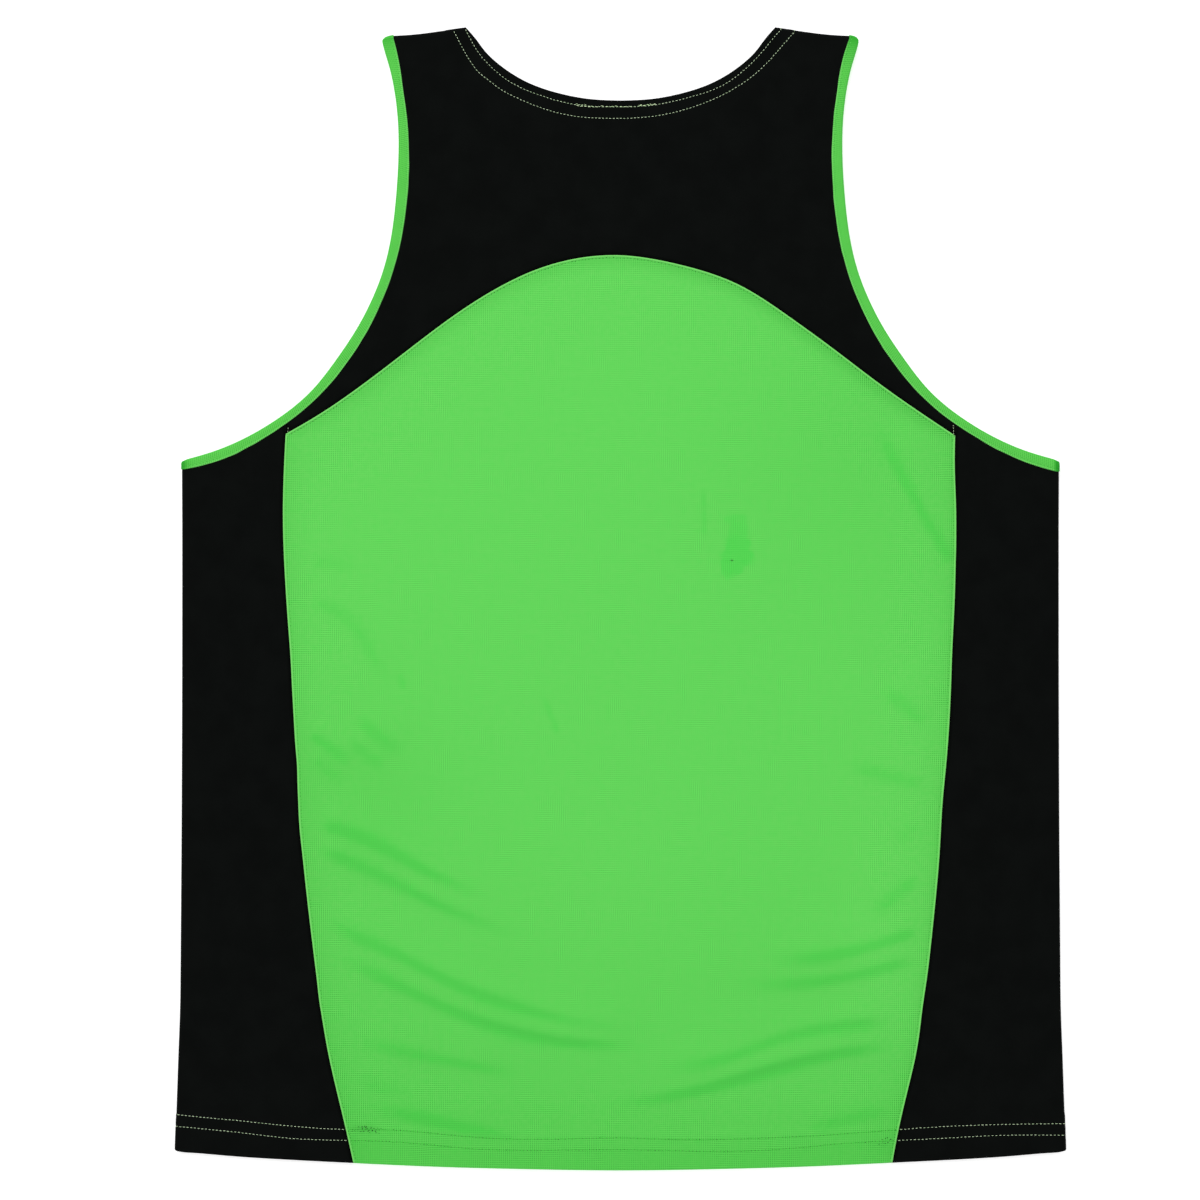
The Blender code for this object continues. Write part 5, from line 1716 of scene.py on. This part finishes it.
    # Where the neck stitching starts and ends, at the centre back, it overlaps untidily.
    inner = rows[0]
    back = inner[(inner[:, 1] < -20) & (inner[:, 0] > -32.5) & (inner[:, 0] < 24)]
    back = back[np.argsort(back[:, 0])]
    part = lambda x0, x1: back[(back[:, 0] > x0) & (back[:, 0] < x1)]
    sewing.row("bright", part(-30, -14), 2.35, 1.6, 0.33, 0.16, 0.2, shift=-0.35, lift=0.16)
    sewing.row("bright", part(-14, 24), 3.1, 2.1, 0.28, 0.14, 0.2, shift=0.2, lift=0.16, skip=0.1)
    sewing.row("bright", part(-33, -18), 2.0, 1.3, 0.24, 0.2, 0.2, shift=0.55, lift=0.2, skip=0.3)
    sewing.row("bright", part(12, 24), 2.2, 1.5, 0.40, 0.24, 0.2, shift=0.4, lift=0.22, skip=0.2)
    # The short seams to the side pieces show a few dashes.
    for tip, s, dashes in zip(tips, (1, -1), (4, 2)):
        a, b = tip.path[0], tip.path[-1]
        low, high = (a, b) if a[1] < b[1] else (b, a)
        seam = low + (high - low) * (0.6 / 2.2), high - (high - low) * (0.6 / 2.2)
        back_from = 1.0 if dashes == 4 else 1.5
        line = np.stack([seam[0], seam[0] + (seam[1] - seam[0]) * (0.9 if dashes == 4 else 0.62)]) + (-back_from * s, 0.5)
        sewing.row("pale", resample(line, 0.4), np.ptp(line[:, 1]) / dashes, 0.9, 0.26, ends=0.05)
    return obj, sewing, outline


def neck_row(rows, away, flat, other):
    """A row of neck stitches in the yoke's pattern: on the back as measured, on the front at an even distance."""
    back = swept([rows.x, TOP - rows.drop], 1.0)
    radius, _, start = shoulder_bend(back[:, 0])
    # Over the bend, height in the picture turns into distance round it.
    risen = np.arcsin(np.clip((back[:, 1] - start) / radius, 0, 1)) * ARC / math.pi
    back = np.stack([back[:, 0], np.where(back[:, 1] > start, risen, back[:, 1] - start)], axis=1)
    front = inner_row(FRONT_NECK_TRACK, away, SIDE_OF_NECK)
    front = front[FRONT_NECK_TRACK.away(front) > away * 0.97]
    ends = []
    for s in (-1, 1):
        part = front[(front[:, 0] * s > 0)]
        part = other(part)
        part = part[(part[:, 1] > ARC + 4.5) & (part[:, 1] < ARC + SHOULDER_WRAP + 3)]
        ends.append(part[np.argsort(part[:, 1])])
    back = back[back[:, 1] < ARC * 0.42]
    path = np.concatenate([ends[0][::-1][::4], back[::3], ends[1][::4]])
    run = run_of(path)
    return cubic(run, path)(np.arange(0, run[-1], 0.5))


# The binding's section. share is of the band's width, 0 at the armhole and 1 at
# the cloth; shift is added to it; out is over the skin. It runs from the lip
# over the top, round the edge, back below, and along the slot that grips the cloth.
SECTION = table("share, shift, out", [
    (1, 0.00, 0.24),
    (1, -0.14, 0.46),
    (1, -0.50, 0.62),
    (1, -0.95, 0.60),
    (1, -1.35, 0.50),
    (1, -1.75, 0.45),
    (1, -2.15, 0.51),
    (1, -2.6, 0.555),
    (1, -3.0, 0.57),
    (0, 2.5, 0.57),
    (0, 2.0, 0.55),
    (0, 1.3, 0.48),
    (0, 0.62, 0.27),
    (0, 0.2, 0.0),
    (0, 0.0, -0.30),
    (0, 0.2, -0.63),
    (0, 0.62, -0.93),
    (0, 1.3, -1.11),
    (0.5, 0, -1.14),
    (1, -0.9, -1.14),
    (1, -0.15, -1.05),
    (1, 0, -0.85),
    (1, -0.2, -0.60),
    (0.5, 0, -0.59),
    (0, 1.3, -0.56),
    (0, 0.75, -0.29),
    (0, 1.3, 0.0),
    (0.5, 0, 0.01),
    (1, -0.3, 0.02),
])


class Binding:
    """An armhole binding: one closed loop up the back, over the shoulder, down the front and under the arm."""

    TURNS = 6
    CORNER = {-1: 1.8, 1: 1.4}  # how much the outer corner at the shoulder is rounded off

    def __init__(self, side):
        self.side = side
        back, front = armhole(side, "back", 1.0), armhole(side, "front", 1.0)
        outer, inner, kind, turn = [], [], [], []

        def add(o, i, k, t):
            outer.append(o)
            inner.append(i)
            kind.append(k)
            turn.append(t)

        turns = np.linspace(0, 1, self.TURNS + 2)[1:-1]
        for o, i in zip(*back):
            add(o, i, 0, 0)
        for t in turns:
            add(*(a[-1] * (1 - t) + b[-1] * t for a, b in zip(back, front)), 1, t)
        for o, i in zip(front[0][::-1], front[1][::-1]):
            add(o, i, 2, 1)
        for t in turns[::-1]:
            add(*(a[0] * (1 - t) + b[0] * t for a, b in zip(back, front)), 3, t)
        self.outer, self.inner = np.array(outer), np.array(inner)
        self.kind, self.turn = np.array(kind), np.array(turn)
        count = len(outer)
        step = np.linalg.norm((np.roll(self.outer, -1, axis=0) - self.outer + np.roll(self.inner, -1, axis=0) - self.inner) / 2, axis=1)
        bending = (self.kind % 2 == 1) | (np.roll(self.kind, -1) % 2 == 1)
        step = np.where(bending, ARC / (self.TURNS + 1), step)
        self.run = np.r_[0, np.cumsum(step)]
        self.count = count
        self.shoulder = self.run[:-1][self.kind == 1].mean()
        self.underarm = self.run[:-1][self.kind == 3].mean()

    def read(self, values, u):
        closed = np.concatenate([values, values[:1]])
        if closed.ndim == 1:
            return np.interp(u, self.run, closed)
        return np.stack([np.interp(u, self.run, closed[:, k]) for k in range(2)], axis=-1)

    def from_underarm(self, u):
        away = abs(u - self.underarm)
        return np.minimum(away, self.run[-1] - away)

    def width(self, u):
        return np.linalg.norm(self.read(self.inner, u) - self.read(self.outer, u), axis=-1)

    def lay(self, pattern, out):
        """Lays pattern points: place along the loop, distance in from the armhole."""
        u, a = pattern[:, 0] % self.run[-1], pattern[:, 1]
        out = out * np.ones(len(u))
        o, i = self.read(self.outer, u), self.read(self.inner, u)
        w = np.linalg.norm(i - o, axis=1)
        step = np.clip(np.searchsorted(self.run, u, side="right") - 1, 0, self.count - 1)
        # Between a station and a bend, the bend's own rule holds.
        ahead = (step + 1) % self.count
        kind = np.where(self.kind[step] % 2 == 1, self.kind[step], np.where(self.kind[ahead] % 2 == 1, self.kind[ahead], self.kind[step]))
        turn = self.turn.astype(float).copy()
        turn = self.read(turn, u)
        last = step == self.count - 1
        turn = np.where(last, self.turn[-1] * (1 - (u - self.run[-2]) / (self.run[-1] - self.run[-2])), turn)
        near = np.exp(-(((u - self.shoulder) / 2.8) ** 2))
        share = np.clip(a / w, 0, 1)
        a = a + 1.2 * near * (1 - share)
        flat = o + (i - o) / w[:, None] * a[:, None]
        flat[:, 1] -= self.CORNER[self.side] * near * (1 - share) ** 2
        flat[:, 1] -= 1.1 * np.exp(-((self.from_underarm(u) / 2.2) ** 2)) * (1 - share) ** 2
        x, y = flat[:, 0].copy(), flat[:, 1].copy()
        mirror = np.stack([flat[:, 0] * self.side, flat[:, 1]], axis=1)
        z = np.where(kind == 2, front_skin(mirror) - out, back_skin(mirror) + out)
        angle = math.pi * turn
        radius, centre, start = shoulder_bend(np.clip(x, NECK_POINT, SHOULDER_POINT))
        on = kind == 1
        drop = self.CORNER[self.side] * near * (1 - share) ** 2
        y[on] = (start - drop + (radius + out) * np.sin(angle))[on]
        z[on] = (centre + (radius + out) * np.cos(angle))[on]
        radius, centre, start = side_bend(y)
        on = kind == 3
        x[on] = (start + (radius + out) * np.sin(angle))[on]
        z[on] = (centre + (radius + out) * np.cos(angle))[on]
        return np.stack([x * self.side, y, z], axis=1)


def make_binding(side):
    word = "left" if side < 0 else "right"
    band = Binding(side)
    total = band.run[-1]
    rings = []
    u = 0.0
    places = []
    while u < total - 0.7:
        places.append(u)
        k = min(int(np.searchsorted(band.run, u, side="right")) - 1, band.count - 1)
        ahead = (k + 3) % band.count
        bending = band.kind[k] % 2 == 1 or band.kind[ahead] % 2 == 1
        u += 0.62 if bending else 1.9
    places = np.array(places)
    w = band.width(places)
    a = SECTION.share[None] * w[:, None] + SECTION.shift[None]
    out = np.tile(SECTION.out, (len(places), 1))
    # Hand-sewn unevenness along the lip.
    dice = np.random.default_rng(31 + side)
    knots = np.arange(0, total + 9, 7.0)
    waver = np.interp(places, knots, dice.normal(0, 0.09, len(knots)))
    waver *= np.clip(np.minimum(places, total - places) / 12, 0, 1)
    a += (SECTION.share[None] == 1) * waver[:, None]
    pattern = np.stack([np.repeat(places, len(SECTION)), a.ravel()], axis=1)
    points = band.lay(pattern, out.ravel())
    size, count = len(SECTION), len(places)
    i, j = np.meshgrid(np.arange(count), np.arange(size), indexing="ij")
    i2, j2 = (i + 1) % count, (j + 1) % size
    quads = np.stack([i * size + j, i * size + j2, i2 * size + j2, i2 * size + j], axis=-1).reshape(-1, 4)
    quads = outward(points, quads)
    inward = (w[:, None] - a).ravel()
    # Painted shade: the strip is painted darkest where it turns over the folds of the garment, and a little darker
    # along its outer edge.
    low, high = band.from_underarm(places), abs(places - band.shoulder)
    if side < 0:
        turn_shade = np.maximum(np.exp(-np.maximum(low - 1.6, 0) / 2.3), 0.62 * np.exp(-np.maximum(high - 1, 0) / 6))
    else:
        turn_shade = np.maximum(1 - smooth((low - 1.9) / 2.8), 0.90 * np.exp(-np.maximum(high - 1, 0) / 9))
    face_top = np.tile((np.arange(size) < 13).astype(float), count)
    marks = {
        "cloth": np.c_[pattern, np.zeros(len(pattern))],
        # Painted highlight along the binding's rolled lip.
        "lip": 0.6 * (1 - smooth((inward - 0.55) / 0.7)) * face_top,
        "rim": np.maximum(0.3 * (1 - smooth((a.ravel() - 0.2) / 1.1)), np.repeat(turn_shade, size)),
    }
    obj = triangles_to(f"binding_{word}_strip", points, quads, BINDING_KNIT, marks)
    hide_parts(f"binding_{word}")
    sewing = Sewing(f"binding_{word}_stitches", band.lay, lambda p: np.full(len(p), 0.41), 21 + side)
    at = np.arange(0.6, total - 0.6, 0.5)
    row = np.stack([at, band.width(at) - 1.75 + np.interp(at, places, waver)], axis=1)
    sewing.row("tonal", row, 2.3, 1.3, 0.42)
    sewing.holes(row, 2.3, 0.7, 0.9)
    strip = 2 * float(w.mean()) + 0.4
    return obj, sewing, (strip * MM, total * MM)


GREEN_MESH = green_mesh()
BLACK_JERSEY = black_knit()
BINDING_KNIT = green_binding()
THREADS = {
    "pale": thread("thread_pale_green", (0.78, 0.97, 0.64), (0.50, 0.70, 0.40)),
    "bright": thread("thread_bright_green", (0.80, 1.0, 0.60), (0.54, 0.80, 0.40)),
    "tonal": thread("thread_green", (0.112, 0.660, 0.090), (0.086, 0.585, 0.070)),
    "deep": thread("thread_deep_green", (0.036, 0.575, 0.031), (0.024, 0.505, 0.021)),
    # Needle holes: dark discs painted as the shade in their pits.
    "hole": thread("needle_hole_shade", (0.003, 0.075, 0.003), (0.007, 0.170, 0.007)),
}

cut_pieces = {
    "back_yoke": (*make_yoke(), "black_knit"),
    "back_panel": (*make_back_panel(), "green_mesh"),
    "front_panel": (*make_front_panel(), "green_mesh"),
    "side_left": (*make_side(-1), "black_knit"),
    "side_right": (*make_side(1), "black_knit"),
}
for node, (piece, sewing, outline, slot) in cut_pieces.items():
    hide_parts(node)
    flat, area = pattern_size(outline)
    sewing.finish(THREADS)
    print(f"cut {node}: {flat[0]:.3f} x {flat[1]:.3f} m, {area:.4f} sq m, {len(piece.data.polygons)} faces")
for side, word in ((-1, "left"), (1, "right")):
    piece, sewing, flat = make_binding(side)
    sewing.finish(THREADS)
    print(f"cut binding_{word}: {flat[0]:.4f} x {flat[1]:.3f} m, {len(piece.data.polygons)} faces")


# ----------------------------------------------- floor, light and camera

VIEW_WIDTH = 0.792  # what the photo spans at the garment
VIEW_CENTRE = (-0.0135, -0.0008)


def panel_light(name, place, aim, size, watts, colour=(1, 1, 1)):
    data = bpy.data.lights.new(name, "AREA")
    data.shape = "RECTANGLE"
    data.size, data.size_y = size
    data.energy = watts
    data.color = colour
    lamp = bpy.data.objects.new(name, data)
    bpy.context.scene.collection.objects.link(lamp)
    lamp.location = place
    lamp.rotation_euler = (Vector(aim) - Vector(place)).to_track_quat("-Z", "Y").to_euler()


def stage():
    mesh = bpy.data.meshes.new("floor")
    reach = 4.0
    mesh.from_pydata([(-reach, -reach, -0.0004), (reach, -reach, -0.0004), (reach, reach, -0.0004), (-reach, reach, -0.0004)], [], [(0, 1, 2, 3)])
    mesh.materials.append(studio_floor())
    floor = bpy.data.objects.new("floor", mesh)
    bpy.context.scene.collection.objects.link(floor)
    world = bpy.data.worlds.new("studio")
    world.use_nodes = True
    back = world.node_tree.nodes["Background"]
    back.inputs["Color"].default_value = (1, 1, 1, 1)
    back.inputs["Strength"].default_value = 0.84
    bpy.context.scene.world = world
    panel_light("key", (-1.42, 3.80, 2.94), (0, 0, 0), (2.2, 2.2), 112)
    view = bpy.context.scene.view_settings
    view.view_transform = "Standard"
    view.look = "None"
    view.exposure = 0
    view.gamma = 1


def camera():
    data = bpy.data.cameras.new("camera")
    data.type = "PERSP"
    data.sensor_width = 36
    data.lens = 100
    data.dof.use_dof = False
    data.clip_start, data.clip_end = 0.05, 20
    eye = bpy.data.objects.new("camera", data)
    bpy.context.scene.collection.objects.link(eye)
    eye.location = (*VIEW_CENTRE, VIEW_WIDTH * data.lens / data.sensor_width + 0.003)
    eye.rotation_euler = (0, 0, 0)
    bpy.context.scene.camera = eye


stage()
camera()
bpy.context.view_layer.update()
print("shell triangles", sum(sum(len(p.vertices) - 2 for p in o.data.polygons) for o in made_pieces))
